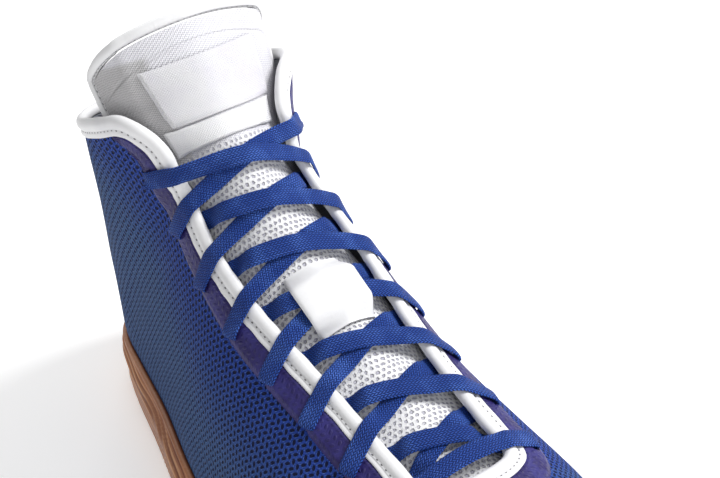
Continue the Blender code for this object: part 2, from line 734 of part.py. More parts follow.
def build_binding(collection, material):
    """The rolled edge of throat and collar with its flat lip, as one closed loop."""
    rows, angles = edge_loop()
    away = edge_away(rows, angles)
    middle = WALL / 2 + ROLL_LIFT
    lip_low = WALL + OVERLAY_GAP
    half = ROLL_THICK / 2
    profile = [
        (LIP_WIDTH, lip_low + LIP_THICK),
        (LIP_WIDTH, lip_low),
        (-GAP, lip_low),
        (-GAP, middle - 0.8 * half),
        (-GAP - 0.50 * ROLL_WIDTH, middle - half),
        (-GAP - ROLL_WIDTH, middle - 0.20 * half),
        (-GAP - 0.75 * ROLL_WIDTH, middle + 0.85 * half),
        (-GAP - 0.25 * ROLL_WIDTH, middle + half),
    ]
    rings = []
    for distance, offset in profile:
        ring_rows, ring_angles = walk(rows, angles, away, distance)
        rings.append(skin(ring_rows, ring_angles, np.full(len(rows), offset)))
    return finish_object("collar_binding", loft(np.stack(rings, axis=1), closed_path=True), collection, material)


def build_eyestay(collection, material):
    """The smooth strip along the throat that the laces go through."""
    along = throat_stations()
    along = along[along < THROAT_LENGTH - 0.35 * COLLAR_ROUND]
    rows = row_along(along)
    outer = angle_at_girth(rows, -throat_half(along))
    inner = angle_at_girth(rows, throat_half(along))
    path_rows = np.concatenate([rows[::-1], rows[1:]])
    path_angles = np.concatenate([outer[::-1], inner[1:]])
    away = -edge_away(path_rows, path_angles, closed=False)
    start = LIP_WIDTH + GAP
    room = np.concatenate([along[::-1], along[1:]])
    narrow = ease((room - THROAT_LENGTH + 1.6 * COLLAR_ROUND) / COLLAR_ROUND)
    widths = EYESTAY_WIDTH * (1.0 - 0.35 * narrow)
    columns = []
    for share in (0.0, 0.5, 1.0):
        columns.append(walk(path_rows, path_angles, away, (start + widths * share)))
    strip_rows = np.stack([column[0] for column in columns], axis=1)
    strip_angles = np.stack([column[1] for column in columns], axis=1)
    low = WALL + OVERLAY_GAP
    shape = overlay(strip_rows, strip_angles, low, low + EYESTAY_THICK)
    return finish_object("eyestay", shape, collection, material)


def tongue_cover(along, girth):
    """Offset of the tongue's outer face: crowned between the edges of the throat, tucked in beyond."""
    open_half = throat_half(np.clip(along, 0.0, THROAT_LENGTH - COLLAR_ROUND))
    room = np.maximum(open_half - ROLL_WIDTH - GAP, GAP)
    side = np.clip(np.abs(girth) / room, 0.0, 1.0)
    start = 1.0 - ease((along - 1.5 * ROLL_WIDTH) / THROAT_ROUND)
    return -TONGUE_DEPTH - TONGUE_DROP * np.maximum(side, start)


def tongue_half(along):
    shares, halves = np.array(TONGUE_HALF).T
    return np.interp(along / THROAT_LENGTH, shares, halves) * BALL_WIDTH


def tongue_grid(across, up):
    """Rows and girths of the tongue for arrays of shares across, -1 to 1, and up, 0 to 1."""
    top = THROAT_LENGTH + TONGUE_HEIGHT * (1.0 - 0.42 * np.abs(across) ** 2.2)
    along = -TONGUE_TUCK + (top + TONGUE_TUCK) * up
    return along, tongue_half(along) * across


def tongue_face(along, girth, offset):
    """A point over the tongue's outer face."""
    along, girth = np.broadcast_arrays(along, girth)
    rows = row_along(along)
    return skin(rows, angle_at_girth(rows, girth), tongue_cover(along, girth) + offset)


def tongue_thickness(along, across, up):
    pad = ease((along - THROAT_LENGTH + PAD_START) / PAD_RAMP)
    thick = TONGUE_THICK + (TONGUE_PAD - TONGUE_THICK) * pad
    edge = ease((1.0 - np.abs(across)) / 0.22)
    top = ease((1.0 - up) / 0.08)
    return TONGUE_EDGE + (thick - TONGUE_EDGE) * np.minimum(edge, top)


def build_tongue(collection, material):
    ups = np.concatenate([np.linspace(0.0, 0.78, 15), np.linspace(0.83, 1.0, 5)])
    across = np.sin(np.linspace(-math.pi / 2, math.pi / 2, 11))
    across, up = np.broadcast_arrays(across[None, :], ups[:, None])
    along, girth = tongue_grid(across, up)
    outer = tongue_face(along, girth, np.zeros(along.shape))
    inner = tongue_face(along, girth, -tongue_thickness(along, across, up))
    rings = np.concatenate([outer, inner[:, ::-1]], axis=1)
    return finish_object("tongue", loft(rings), collection, material)


def tongue_patch(name, along_range, girth_range, counts, collection, material):
    """A thin piece sewn on the tongue, between two distances along the throat and two girths."""
    along = np.linspace(*along_range, counts[0])[:, None]
    girth = np.linspace(*girth_range, counts[1])[None, :]
    under = tongue_face(along, girth, 2 * GAP)
    over = tongue_face(along, girth, 2 * GAP + LABEL_THICK)
    rings = np.concatenate([under, over[:, ::-1]], axis=1)
    return finish_object(name, loft(rings), collection, material)


def build_tongue_binding(collection, material):
    """The rolled edge round the top of the tongue, open where the collar covers its sides."""
    side_ups = np.linspace(TONGUE_ROLL_START, 1.0, 5)
    top_across = np.linspace(-1.0, 1.0, 13)
    across = np.concatenate([np.full(4, -1.0), top_across, np.full(4, 1.0)])
    up = np.concatenate([side_ups[:-1], np.ones(13), side_ups[-2::-1]])
    along, girth = tongue_grid(across, up)
    rows = row_along(along)
    angles = angle_at_girth(rows, girth)
    away = edge_away(rows, angles, closed=False)
    face = tongue_cover(along, girth)
    rings = []
    for turn in np.radians(np.arange(8) * 45.0 + 22.5):
        distance = 1.5 * GAP + TONGUE_ROLL * (0.5 + 0.5 * math.cos(turn))
        lift = -TONGUE_EDGE / 2 + TONGUE_ROLL * 0.55 * math.sin(turn)
        ring_rows, ring_angles = walk(rows, angles, away, distance)
        rings.append(skin(ring_rows, ring_angles, face + lift))
    return finish_object("tongue_binding", loft(np.stack(rings, axis=1)), collection, material)


def build_keeper(places, collection, material):
    """The loop on the tongue that the laces pass under, raised in its middle."""
    start = along_row(places["outer"][KEEPER_EYELET - 1][0]) - KEEPER_BELOW
    low = OVER_CROSSING
    flat_to, rise_to, fall_from, fall_to = 0.10, 0.24, 0.80, 0.92
    middle = (rise_to + fall_from) / 2
    heights = (
        (0.0, None),
        (flat_to, None),
        (rise_to, low),
        (middle, low),
        (fall_from, low),
        (fall_to, None),
        (1.0, None),
    )
    girth = np.linspace(-KEEPER_WIDTH / 2, KEEPER_WIDTH / 2, 5)
    rings = []
    for share, height in heights:
        along = np.full(len(girth), start + share * KEEPER_LENGTH)
        rows = row_along(along)
        angles = angle_at_girth(rows, girth)
        offset = tongue_cover(along, girth) + GAP if height is None else np.full(len(girth), height)
        under = skin(rows, angles, offset)
        over = skin(rows, angles, offset + KEEPER_THICK)
        rings.append(np.concatenate([under, over[::-1]]))
    return finish_object("lace_keeper", loft(np.stack(rings)), collection, material)


def lace_end(over):
    """Columns: distance from the eyelet towards the throat, offset of the middle of the lace."""
    half = LACE_THICK / 2
    roll_middle = WALL / 2 + ROLL_LIFT
    roll_start = EYELET_INSET + GAP
    roll_end = roll_start + ROLL_WIDTH
    if over:
        flat = WALL + OVERLAY_GAP + LIP_THICK + GAP + half
        rise = flat + 2 * GAP
        top = roll_middle + ROLL_THICK / 2 + 2 * GAP + half
        return ((0.0, flat), (EYELET_INSET / 2, rise), (roll_start, top), (roll_end, top))
    under = roll_middle - ROLL_THICK / 2 - 2 * GAP - half
    return ((0.0, under), (roll_start, under), (roll_end, under))


def lace_strip(start, end, start_over, end_over, middle):
    """A flat lace between two eyelets, across the throat, as a closed bmesh."""
    rows = np.array([start[0], end[0]])
    along = along_row(rows)
    girth = np.array([girth_at_angle(*start), girth_at_angle(*end)])
    reach = abs(girth[1] - girth[0])
    first, last = lace_end(start_over), lace_end(end_over)
    flat = LACE_FLAT * (reach / 2 - first[-1][0])
    inner = [(reach / 2 - flat, middle), (reach / 2, middle), (reach / 2 + flat, middle)]
    stations = list(first) + inner + [(reach - place, offset) for place, offset in last[::-1]]
    share = np.array([place for place, _ in stations]) / reach
    offset = np.array([height for _, height in stations])
    path_along = along[0] + (along[1] - along[0]) * share
    path_girth = girth[0] + (girth[1] - girth[0]) * share
    path_rows = row_along(path_along)
    path_angles = angle_at_girth(path_rows, path_girth)
    centre = skin(path_rows, path_angles, offset)
    normal = normal_at(path_rows, path_angles)
    across = np.cross(normal, np.gradient(centre, axis=0))
    across = across / np.linalg.norm(across, axis=-1, keepdims=True) * LACE_WIDTH / 2
    lift = normal * LACE_THICK / 2
    left, right = centre - across, centre + across
    return loft(np.stack([left - lift, right - lift, right + lift, left + lift], 1))


def build_laces(places, collection, cutters, material):
    """One straight bar at the bottom and a crossing above each pair of eyelets."""
    outer, inner = places["outer"], places["inner"]
    bar = lace_strip(outer[-1], inner[-1], True, True, lace_end(True)[-1][1])
    finish_object("lace_bar", bar, collection, material)
    for number in range(1, EYELETS):
        start_over = number < EYELETS - 1
        end_over = number == 1
        upper_lace = lace_strip(inner[number], outer[number - 1], start_over, end_over, LACE_OVER)
        lower_lace = lace_strip(outer[number], inner[number - 1], start_over, end_over, LACE_UNDER)
        crossing = finish_object(f"lace_cross_{number}", upper_lace, collection, material)
        other = finish_object(f"lace_under_{number}", lower_lace, cutters, material)
        other.hide_render = True
        other.display_type = "WIRE"
        join = crossing.modifiers.new("join", "BOOLEAN")
        join.operation = "UNION"
        join.object = other


def stand_on_origin(items):
    """Moves everything so that the origin is below the middle of the shoe's box, on the ground."""
    bpy.context.view_layer.update()
    graph = bpy.context.evaluated_depsgraph_get()
    made = [item.evaluated_get(graph) for item in items]
    corners = [item.matrix_world @ Vector(corner) for item in made for corner in item.bound_box]
    low = np.min(corners, axis=0)
    high = np.max(corners, axis=0)
    placement = bpy.data.objects.new("placement", None)
    bpy.context.scene.collection.objects.link(placement)
    placement.location = (-(low[0] + high[0]) / 2, -(low[1] + high[1]) / 2, -low[2])
    for item in bpy.data.objects:
        if item is not placement:
            item.parent = placement


def main():
    clear_scene()
    parts = make_collection("wrestling_shoe")
    cutters = make_collection("cutters")
    holes = make_collection("holes")
    rubber = make_material("gum_rubber", (0.42, 0.20, 0.10), 0.55)
    mesh = make_material("mesh_blue", (0.03, 0.07, 0.30), 0.75)
    white = make_material("synthetic_white", (0.75, 0.75, 0.76), 0.45)
    padding = make_material("tongue_white", (0.70, 0.70, 0.70), 0.85)
    purple = make_material("eyestay_indigo", (0.05, 0.04, 0.20), 0.50)
    foam = make_material("insole_grey", (0.12, 0.13, 0.16), 0.90)
    woven = make_material("lace_blue", (0.04, 0.10, 0.42), 0.80)
    places = eyelet_places()
    build_outsole(parts, cutters, rubber)
    build_insole(parts, foam)
    upper = build_upper(parts, mesh)
    eyestay = build_eyestay(parts, purple)
    punch_eyelets([upper, eyestay], places, holes)
    build_binding(parts, white)
    build_tongue(parts, padding)
    build_tongue_binding(parts, white)
    label = (THROAT_LENGTH + LABEL_FROM, THROAT_LENGTH + LABEL_TO)
    tongue_patch("tongue_label", label, (-LABEL_OUTER, LABEL_INNER), (5, 8), parts, padding)
    band = (THROAT_LENGTH - BAND_BELOW, THROAT_LENGTH - BAND_BELOW + BAND_WIDTH)
    tongue_patch("tongue_band", band, (-BAND_HALF, BAND_HALF), (2, 9), parts, padding)
    build_keeper(places, parts, white)
    build_laces(places, parts, cutters, woven)
    stand_on_origin(parts.objects)


main()
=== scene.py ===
"""The looks of the wrestling shoe: its camera, floor, light and the fine surface of every piece."""

import math

import bmesh
import bpy
import numpy as np
from mathutils import Matrix, Vector


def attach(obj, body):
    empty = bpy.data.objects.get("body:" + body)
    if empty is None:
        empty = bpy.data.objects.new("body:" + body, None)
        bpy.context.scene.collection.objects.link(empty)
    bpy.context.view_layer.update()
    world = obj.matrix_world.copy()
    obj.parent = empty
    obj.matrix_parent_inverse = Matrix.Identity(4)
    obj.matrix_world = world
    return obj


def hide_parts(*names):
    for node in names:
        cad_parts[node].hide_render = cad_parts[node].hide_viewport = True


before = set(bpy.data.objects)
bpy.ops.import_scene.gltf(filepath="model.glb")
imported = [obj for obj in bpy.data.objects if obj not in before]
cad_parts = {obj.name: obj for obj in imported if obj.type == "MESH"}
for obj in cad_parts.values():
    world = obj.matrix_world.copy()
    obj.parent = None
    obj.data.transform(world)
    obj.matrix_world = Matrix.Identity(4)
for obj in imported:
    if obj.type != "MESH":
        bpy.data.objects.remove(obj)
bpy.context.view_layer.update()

# Where the heel's ground point lies in the frame, in metres.
SHIFT = np.array((-0.13652, 0.000178, 0.0))

# Camera: azimuth, elevation and roll in degrees, what it looks at and from how far, and its lens in mm.
CAMERA_ANGLES = (63.3, 31.0, 9.7)
CAMERA_TARGET = (0.0092, 0.0150, 0.1019)
CAMERA_DISTANCE = 0.4137
CAMERA_LENS = 69.4

# Light: the strength all round, then name, place, target, size in metres and watts of each lamp.
WORLD_LIGHT = 0.38
LIGHTS = (
    ("key", (0.45, 0.85, 1.00), (0.0, 0.0, 0.08), 0.6, 19.0),
    ("front", (1.10, -0.35, 0.75), (0.0, 0.0, 0.08), 0.9, 2.5),
    ("back", (-0.80, 0.20, 0.90), (0.0, 0.0, 0.08), 0.9, 3.5),
)

# Millimetres in a metre, the width and height of a hole of the knit in mm, and the two places on the
# throat's edge, as shares of LAST_LENGTH from the heel, that its rows run between.
MM = 1000.0
KNIT_WIDE = 2.20
KNIT_HIGH = 2.00
KNIT_LINE = (0.66, 0.42)

# Colours, linear. Where a piece has two, its threads run from the dark to the light one. Some stand for
# painted light: the knit's greyer blues are painted sheen, the yarn's and the lace's light colours painted
# highlights, and the dark of the holes and of the binding's groove painted shade.
ROYAL_BLUE = (0.016, 0.048, 0.290)
SHEEN_STEEL_BLUE = (0.042, 0.095, 0.230)
SHEEN_SOLE_BLUE = (0.050, 0.110, 0.260)
YARN_HIGHLIGHT = (0.110, 0.215, 0.600)
HOLE_SHADE = (0.004, 0.007, 0.042)
FILM_COLOR = (0.019, 0.013, 0.105)
FILM_LIGHT = (0.034, 0.030, 0.180)
WHITE = (0.82, 0.82, 0.83)
LACE_COLOR = (0.020, 0.080, 0.400)
LACE_DARK = (0.008, 0.020, 0.130)
LACE_HIGHLIGHT = (0.090, 0.215, 0.720)
GUM = (0.450, 0.170, 0.060)
GUM_DARK = (0.340, 0.115, 0.038)
GUM_DEEP = (0.140, 0.030, 0.012)
GUM_PALE = (0.690, 0.370, 0.190)
FILM_HOLE_SHADE = (0.012, 0.008, 0.040)
LINING_DARK = (0.13, 0.135, 0.17)
LINING_LIGHT = (0.30, 0.31, 0.35)
GROOVE_SHADE = (0.55, 0.55, 0.58)
STITCH_DARK = (0.10, 0.09, 0.10)
STITCH_WHITE = (0.90, 0.90, 0.90)
TWILL_DARK = (0.30, 0.295, 0.31)
TWILL_LIGHT = (0.66, 0.65, 0.66)
PLAIN_DARK = (0.58, 0.56, 0.66)
PLAIN_LIGHT = (0.84, 0.84, 0.86)
SPACER_LIGHT = (0.88, 0.88, 0.89)
SPACER_HOLE_SHADE = (0.46, 0.45, 0.54)
LABEL_DARK = (0.60, 0.59, 0.64)
LABEL_LIGHT = (0.86, 0.86, 0.87)
LABEL_SHADE = (0.66, 0.62, 0.78)
BAND_CLOTH = (0.80, 0.80, 0.82)
BAND_SHADE = (0.70, 0.67, 0.80)
BAND_RIB = (0.88, 0.88, 0.89)
FOAM_DARK = (0.07, 0.075, 0.10)
FOAM_LIGHT = (0.20, 0.21, 0.25)
FLOOR_WHITES = ((0.925, 0.925, 0.925), (0.94, 0.94, 0.94))

# Main sizes, in metres.
LAST_LENGTH = 0.270
BALL_WIDTH = 0.095
HEEL_WIDTH = 0.062
INSTEP_HEIGHT = 0.098
ANKLE_WIDTH = 0.070
SHAFT_HEIGHT = 0.138
WALL = 0.0018
GAP = 0.0003

# Sole: height of its inner floor at heel and ball, toe spring, arch, bevel of the heel, the rubber's
# thickness at the side, how far the side stands out, the upper's seat in it, and the steps of the side:
# its foot's top over the floor at the inner side, half the rib, and the height of the foot.
FLOOR_HEEL = 0.0085
FLOOR_BALL = 0.0060
TOE_SPRING = 0.010
ARCH_RISE = 0.0030
HEEL_BEVEL = 0.0020
RUBBER = 0.0018
WELT = 0.0042
UPPER_SEAT = 0.0024
SIDE_RISE = 0.0059
RIB_HALF = 0.0008
FOOT_RISE = 0.0034

# Throat: where it starts on the ridge, as a share of LAST_LENGTH from the heel, its corners, and its
# eyelets, with the share of its length that they take up. APART keeps the eyelet line's stations apart
# and FINE_APART those of the fine pieces.
THROAT_START = 0.782
THROAT_ROUND = 0.011
COLLAR_ROUND = 0.013
EYELETS = 8
EYELET_START = 0.0100
EYELET_SPAN = 0.9197
EYELET_INSET = 0.0072
EYELET_DIAMETER = 0.0042
APART = 0.0015
FINE_APART = 0.0006

# Overlays, the width of the rolled edge and of its lip, and the film along the throat.
OVERLAY_GAP = 0.00045
ROLL_WIDTH = 0.0042
LIP_WIDTH = 0.0028
EYESTAY_WIDTH = 0.0090
EYESTAY_THICK = 0.0005

# Tongue, with the pieces sewn on it.
TONGUE_THICK = 0.0028
TONGUE_PAD = 0.0070
TONGUE_TUCK = 0.012
TONGUE_HEIGHT = 0.024
TONGUE_DEPTH = 0.0004
TONGUE_DROP = 0.0028
TONGUE_EDGE = 0.0018
TONGUE_ROLL = 0.0038
TONGUE_ROLL_START = 0.80
PAD_START = 0.012
PAD_RAMP = 0.022
LABEL_THICK = 0.0006
LABEL_FROM = -0.0053
LABEL_TO = 0.017
LABEL_OUTER = 0.015
LABEL_INNER = 0.022
BAND_BELOW = 0.0130
BAND_WIDTH = 0.0070
BAND_HALF = 0.021
KEEPER_EYELET = 5
KEEPER_BELOW = 0.0025
KEEPER_WIDTH = 0.020
KEEPER_LENGTH = 0.0220
KEEPER_THICK = 0.0009

# Lace, a flat woven one.
LACE_WIDTH = 0.0060
LACE_THICK = 0.0012

# Middle of the upper lace of a crossing over the inner skin, the height over a crossing, and the share
# of a lace between the rolls that lies flat.
LACE_OVER = 0.0021
OVER_CROSSING = LACE_OVER + LACE_THICK / 2 + 2 * GAP
LACE_FLAT = 0.62

# Angles round a section where the tables below give the distance from the heel-to-ball axis.
ANGLES = (45, 90, 130, 160)

# Columns: name, ridge x, ridge y, ridge z, base x, base z, four outer and four inner distances at
# ANGLES. Places along the last are shares of LAST_LENGTH from the heel. A base on the floor of the
# sole has None for its height. FOOT takes its distances from BALL_WIDTH and its heights from
# INSTEP_HEIGHT, HEEL from HEEL_WIDTH and INSTEP_HEIGHT, SHAFT from ANKLE_WIDTH and SHAFT_HEIGHT. The
# ridge of HEEL and SHAFT is given as a share of the way from INSTEP_HEIGHT up to SHAFT_HEIGHT.
FOOT = (
    ("toe tip", 1.000, 0.085, 0.195, 1.000, 0.195,
     0.085, 0.085, 0.085, 0.085, 0.085, 0.085, 0.085, 0.085),
    ("toe 1", 0.992, 0.085, 0.270, 0.985, None,
     0.010, -0.040, -0.060, -0.050, 0.155, 0.210, 0.230, 0.220),
    ("toe 2", 0.967, 0.085, 0.350, 0.952, None,
     -0.060, -0.145, -0.175, -0.155, 0.215, 0.305, 0.335, 0.315),
    ("toe 3", 0.922, 0.085, 0.410, 0.905, None,
     -0.105, -0.240, -0.285, -0.262, 0.260, 0.375, 0.410, 0.388),
    ("toe 4", 0.856, 0.075, 0.475, 0.842, None,
     -0.155, -0.335, -0.388, -0.360, 0.285, 0.425, 0.460, 0.440),
    ("ball front", 0.770, 0.065, 0.548, 0.760, None,
     -0.200, -0.405, -0.458, -0.435, 0.300, 0.450, 0.492, 0.470),
    ("ball", 0.681, 0.055, 0.640, 0.674, None,
     -0.230, -0.435, -0.495, -0.470, 0.290, 0.435, 0.480, 0.450),
    ("waist 1", 0.604, 0.045, 0.748, 0.578, None,
     -0.240, -0.430, -0.490, -0.460, 0.275, 0.400, 0.425, 0.380),
    ("waist 2", 0.544, 0.030, 0.860, 0.474, None,
     -0.245, -0.410, -0.462, -0.438, 0.270, 0.370, 0.375, 0.315),
    ("instep", 0.497, 0.018, 0.970, 0.363, None,
     -0.242, -0.375, -0.418, -0.394, 0.265, 0.350, 0.338, 0.285),
)
HEEL = (
    ("ankle low", 0.459, 0.008, 0.1764, 0.237, None,
     -0.362, -0.500, -0.536, -0.506, 0.378, 0.490, 0.500, 0.455),
    ("heel 1", 0.434, 0.000, 0.3675, 0.126, None,
     -0.358, -0.452, -0.474, -0.436, 0.366, 0.465, 0.492, 0.450),
    ("heel 2", 0.417, -0.006, 0.5194, 0.047, 0.100,
     -0.353, -0.428, -0.436, -0.356, 0.360, 0.448, 0.480, 0.405),
    ("heel back", 0.405, -0.012, 0.6321, 0.012, 0.160,
     -0.350, -0.420, -0.404, -0.270, 0.355, 0.440, 0.448, 0.308),
)
SHAFT = (
    ("counter", 0.396, -0.014, 0.7240, 0.006, 0.266,
     -0.338, -0.394, -0.344, -0.188, 0.335, 0.410, 0.370, 0.206),
    ("heel bone", 0.388, -0.018, 0.8034, 0.022, 0.415,
     -0.346, -0.406, -0.338, -0.180, 0.340, 0.414, 0.346, 0.176),
    ("tendon", 0.380, -0.022, 0.8827, 0.054, 0.570,
     -0.358, -0.428, -0.344, -0.184, 0.352, 0.430, 0.346, 0.166),
    ("collar low", 0.372, -0.026, 0.9655, 0.091, 0.720,
     -0.372, -0.450, -0.360, -0.192, 0.368, 0.448, 0.360, 0.174),
    ("collar", 0.363, -0.030, 1.0518, 0.127, 0.862,
     -0.384, -0.466, -0.374, -0.202, 0.382, 0.464, 0.372, 0.180),
    ("above 1", 0.347, -0.032, 1.3105, 0.144, 0.960,
     -0.388, -0.474, -0.382, -0.208, 0.390, 0.472, 0.378, 0.184),
    ("above 2", 0.329, -0.034, 1.5796, 0.161, 1.058,
     -0.388, -0.474, -0.382, -0.208, 0.392, 0.474, 0.380, 0.185),
    ("above 3", 0.309, -0.036, 1.8418, 0.178, 1.156,
     -0.388, -0.474, -0.382, -0.208, 0.392, 0.474, 0.380, 0.185),
)

# Columns: share of the throat from its start to the collar, half its width as a share of BALL_WIDTH.
THROAT_HALF = (
    (0.00, 0.180),
    (0.15, 0.185),
    (0.30, 0.198),
    (0.45, 0.222),
    (0.60, 0.252),
    (0.75, 0.268),
    (0.90, 0.252),
    (1.00, 0.228),
)

# Columns: share of the throat from its start, half the tongue's width as a share of BALL_WIDTH.
TONGUE_HALF = (
    (0.0, 0.263),
    (0.5, 0.337),
    (0.8, 0.400),
    (1.0, 0.432),
    (1.2, 0.453),
)

# Columns: share of LAST_LENGTH from the heel, height of the rubber's top edge over the sole's floor,
# height of the rib below it, both as shares of WRAP_HEIGHT, and how far the side stands out there as
# a share of WELT.
WRAP_HEIGHT = 0.016
SOLE_SIDE = (
    (-0.02, 0.74, 0.44, 0.80),
    (0.08, 0.68, 0.40, 0.95),
    (0.22, 0.60, 0.36, 1.24),
    (0.40, 0.52, 0.30, 1.38),
    (0.60, 0.60, 0.34, 1.12),
    (0.78, 0.72, 0.42, 1.00),
    (0.92, 0.95, 0.55, 0.85),
    (1.02, 1.15, 0.66, 0.75),
)

KNOTS = np.array((-180,) + tuple(-a for a in reversed(ANGLES)) + (0,) + ANGLES + (180,), float)
COLLAR = len(FOOT) + len(HEEL) + 4

# The first row that stations along the throat are taken from, a little before the throat itself.
FIRST_ROW = 5.0

# Steps of the sole's side, from the top down. Columns: height over the rib's middle for the rib and over
# the ground for the foot, in metres, and how far the side stands out, as a share of its own.
SIDE_RIB = (
    (0.0010, 0.80),
    (0.0002, 0.93),
    (-RIB_HALF, 0.90),
    (-2 * RIB_HALF, 0.70),
)
SIDE_FOOT = (
    (FOOT_RISE, 1.00),
    (0.0010, 0.93),
    (0.0001, 0.80),
    (0.0001, 0.60),
)

# The visible rubber lies this far outside its solid, and its ribs are this far apart and this deep.
SIDE_LIFT = 0.00035
RIB_PITCH = 0.0021
RIB_DEPTH = 0.00030

# Profile of the rolled edge, in mm: distance away from the opening, height over the inner skin.
BINDING_PROFILE = (
    (2.30, 2.28),
    (2.40, 2.54),
    (2.15, 2.74),
    (1.20, 2.74),
    (0.60, 2.64),
    (0.25, 2.50),
    (-0.10, 2.80),
    (-0.70, 3.22),
    (-1.50, 3.42),
    (-2.40, 3.34),
    (-3.25, 2.86),
    (-3.80, 2.10),
    (-3.90, 1.25),
    (-3.55, 0.40),
    (-2.80, -0.10),
    (-1.80, -0.26),
    (-0.85, 0.00),
    (-0.40, 0.80),
    (-0.32, 1.90),
    (0.60, 2.22),
)

# Keys of a lace beside its eyelet, over and under the edge: distance from the eyelet towards the throat
# and height over the inner skin in mm, width and thickness as shares of the lace's.
LACE_OVER_EDGE = (
    (-0.8, 0.30, 0.60, 1.35),
    (-1.3, 1.70, 0.66, 1.30),
    (-1.7, 2.75, 0.86, 1.15),
    (-1.0, 3.45, 0.97, 1.05),
    (0.9, 3.70, 1.0, 1.0),
    (4.4, 3.72, 1.0, 1.0),
    (7.0, 4.00, 1.0, 1.0),
    (9.3, 4.36, 1.0, 1.0),
    (12.0, 3.90, 1.0, 1.0),
)
LACE_UNDER_EDGE = (
    (1.5, -0.75, 0.64, 1.30),
    (2.8, -1.35, 0.80, 1.10),
    (5.5, -1.62, 0.96, 1.0),
    (9.5, -1.66, 1.0, 1.0),
    (12.5, -1.30, 1.0, 1.0),
)

# Height over the inner skin, in metres, of the middle of the upper and lower lace and of the bar.
LACE_TOP_MIDDLE = 0.00235
LACE_LOW_MIDDLE = 0.00100
LACE_BAR_MIDDLE = 0.00400

# The film's width beside its solid's, how far the ridge of the tongue is rounded, and how far the label's
# top and outer edge lie from its solid's.
FILM_SHARE = 0.82
SOFT_REACH = 0.0045
LABEL_EASE = 0.0035

# Soft creases of the upper. Columns: where, row and angle of each end, half width and depth in metres,
# a trough where negative.
CREASES = (
    ("ankle bend outer", 11.5, -62.0, 12.6, -128.0, 0.0060, -0.0009),
    ("ankle bend upper", 13.4, -66.0, 13.8, -128.0, 0.0055, -0.0006),
    ("heel swell", 12.2, -120.0, 12.8, -150.0, 0.0090, 0.0006),
    ("ankle bend inner", 11.4, 64.0, 12.6, 130.0, 0.0062, -0.0009),
    ("ankle ridge inner", 13.0, 66.0, 13.4, 126.0, 0.0060, 0.0006),
    ("toe flex 1", 3.55, -60.0, 3.55, 60.0, 0.0050, -0.0007),
    ("toe flex 2", 4.30, -75.0, 4.25, -35.0, 0.0045, -0.0007),
    ("toe flex 3", 4.30, 35.0, 4.25, 75.0, 0.0045, -0.0007),
    ("toe swell", 3.95, -70.0, 3.95, 70.0, 0.0055, 0.0005),
    ("waist outer", 7.6, -80.0, 9.0, -120.0, 0.0080, -0.0006),
    ("waist inner", 7.6, 78.0, 9.0, 118.0, 0.0080, -0.0007),
    ("shaft back", 16.0, 150.0, 16.4, 200.0, 0.0070, -0.0006),
)

# Folds of the tongue, in metres. Columns: height over the collar, middle along the girth, slant of the
# fold, half width and depth.
TONGUE_FOLDS = (
    (0.002, -0.024, 0.25, 0.0030, -0.0008),
    (0.009, -0.027, 0.15, 0.0035, 0.0006),
    (-0.020, 0.004, 0.05, 0.0040, -0.0006),
    (-0.045, -0.006, -0.1, 0.0050, -0.0005),
)


def ease(share):
    """0 below 0, 1 above 1 and smooth between."""
    share = np.clip(share, 0.0, 1.0)
    return share * share * (3.0 - 2.0 * share)


def floor_height(x):
    """Height of the sole's inner floor at a distance x from the heel."""
    along = np.asarray(x, float) / LAST_LENGTH
    level = FLOOR_HEEL + (FLOOR_BALL - FLOOR_HEEL) * ease((along - 0.30) / 0.38)
    return level + TOE_SPRING * np.clip((along - 0.74) / 0.26, 0.0, 2.0) ** 2


def ground_height(x):
    """Height of the sole's underside: flat at heel and forefoot, raised at the arch, back and toe."""
    along = np.asarray(x, float) / LAST_LENGTH
    arch = ARCH_RISE * ease((along - 0.28) / 0.10) * ease((0.60 - along) / 0.10)
    toe = TOE_SPRING * np.clip((along - 0.79) / 0.21, 0.0, 2.0) ** 2
    back = HEEL_BEVEL * np.clip((0.04 - along) / 0.05, 0.0, 2.0) ** 2
    return arch + toe + back


def section_rows():
    """One row of numbers a section: ridge x and z, base x and z, then the distances at KNOTS."""
    made = []
    for table, width, height in (
        (FOOT, BALL_WIDTH, INSTEP_HEIGHT),
        (HEEL, HEEL_WIDTH, INSTEP_HEIGHT),
        (SHAFT, ANKLE_WIDTH, SHAFT_HEIGHT),
    ):
        for _, ridge_x, ridge_y, ridge_z, base_x, base_z, *sides in table:
            base_x *= LAST_LENGTH
            base_z = float(floor_height(base_x)) if base_z is None else base_z * height
            outer = [share * width for share in sides[:4]]
            inner = [share * width for share in sides[4:]]
            base_y = (outer[3] + inner[3]) / 2
            distances = [base_y] + outer[::-1] + [ridge_y * width] + inner + [base_y]
            if table is FOOT:
                ridge_z *= INSTEP_HEIGHT
            else:
                ridge_z = INSTEP_HEIGHT + (SHAFT_HEIGHT - INSTEP_HEIGHT) * ridge_z
            made.append([ridge_x * LAST_LENGTH, ridge_z, base_x, base_z] + distances)
    rows = np.array(made)
    # The row before the toe tip mirrors the one after it, so that the toe closes round.
    before = 2 * rows[0] - rows[1]
    before[[0, 2]] = rows[1][[0, 2]]
    return np.vstack([before, rows, 2 * rows[-1] - rows[-2]])


ROWS = section_rows()
LAST_ROW = len(ROWS) - 3


def unit(vectors):
    return vectors / np.linalg.norm(vectors, axis=-1, keepdims=True)


def dot(first, second):
    return np.sum(first * second, axis=-1)


def pair(first, second):
    """Two values a place in one grid."""
    return np.stack(np.broadcast_arrays(first, second), -1)


def curve_through(table, turn):
    """A Catmull-Rom curve through the rows of a table that has one row more at each end."""
    index = np.floor(turn).astype(int)
    part = (turn - index)[..., None]
    a, b, c, d = (table[index + step] for step in range(4))
    return b + 0.5 * part * (c - a + part * (2 * a - 5 * b + 4 * c - d + part * (3 * (b - c) + d - a)))


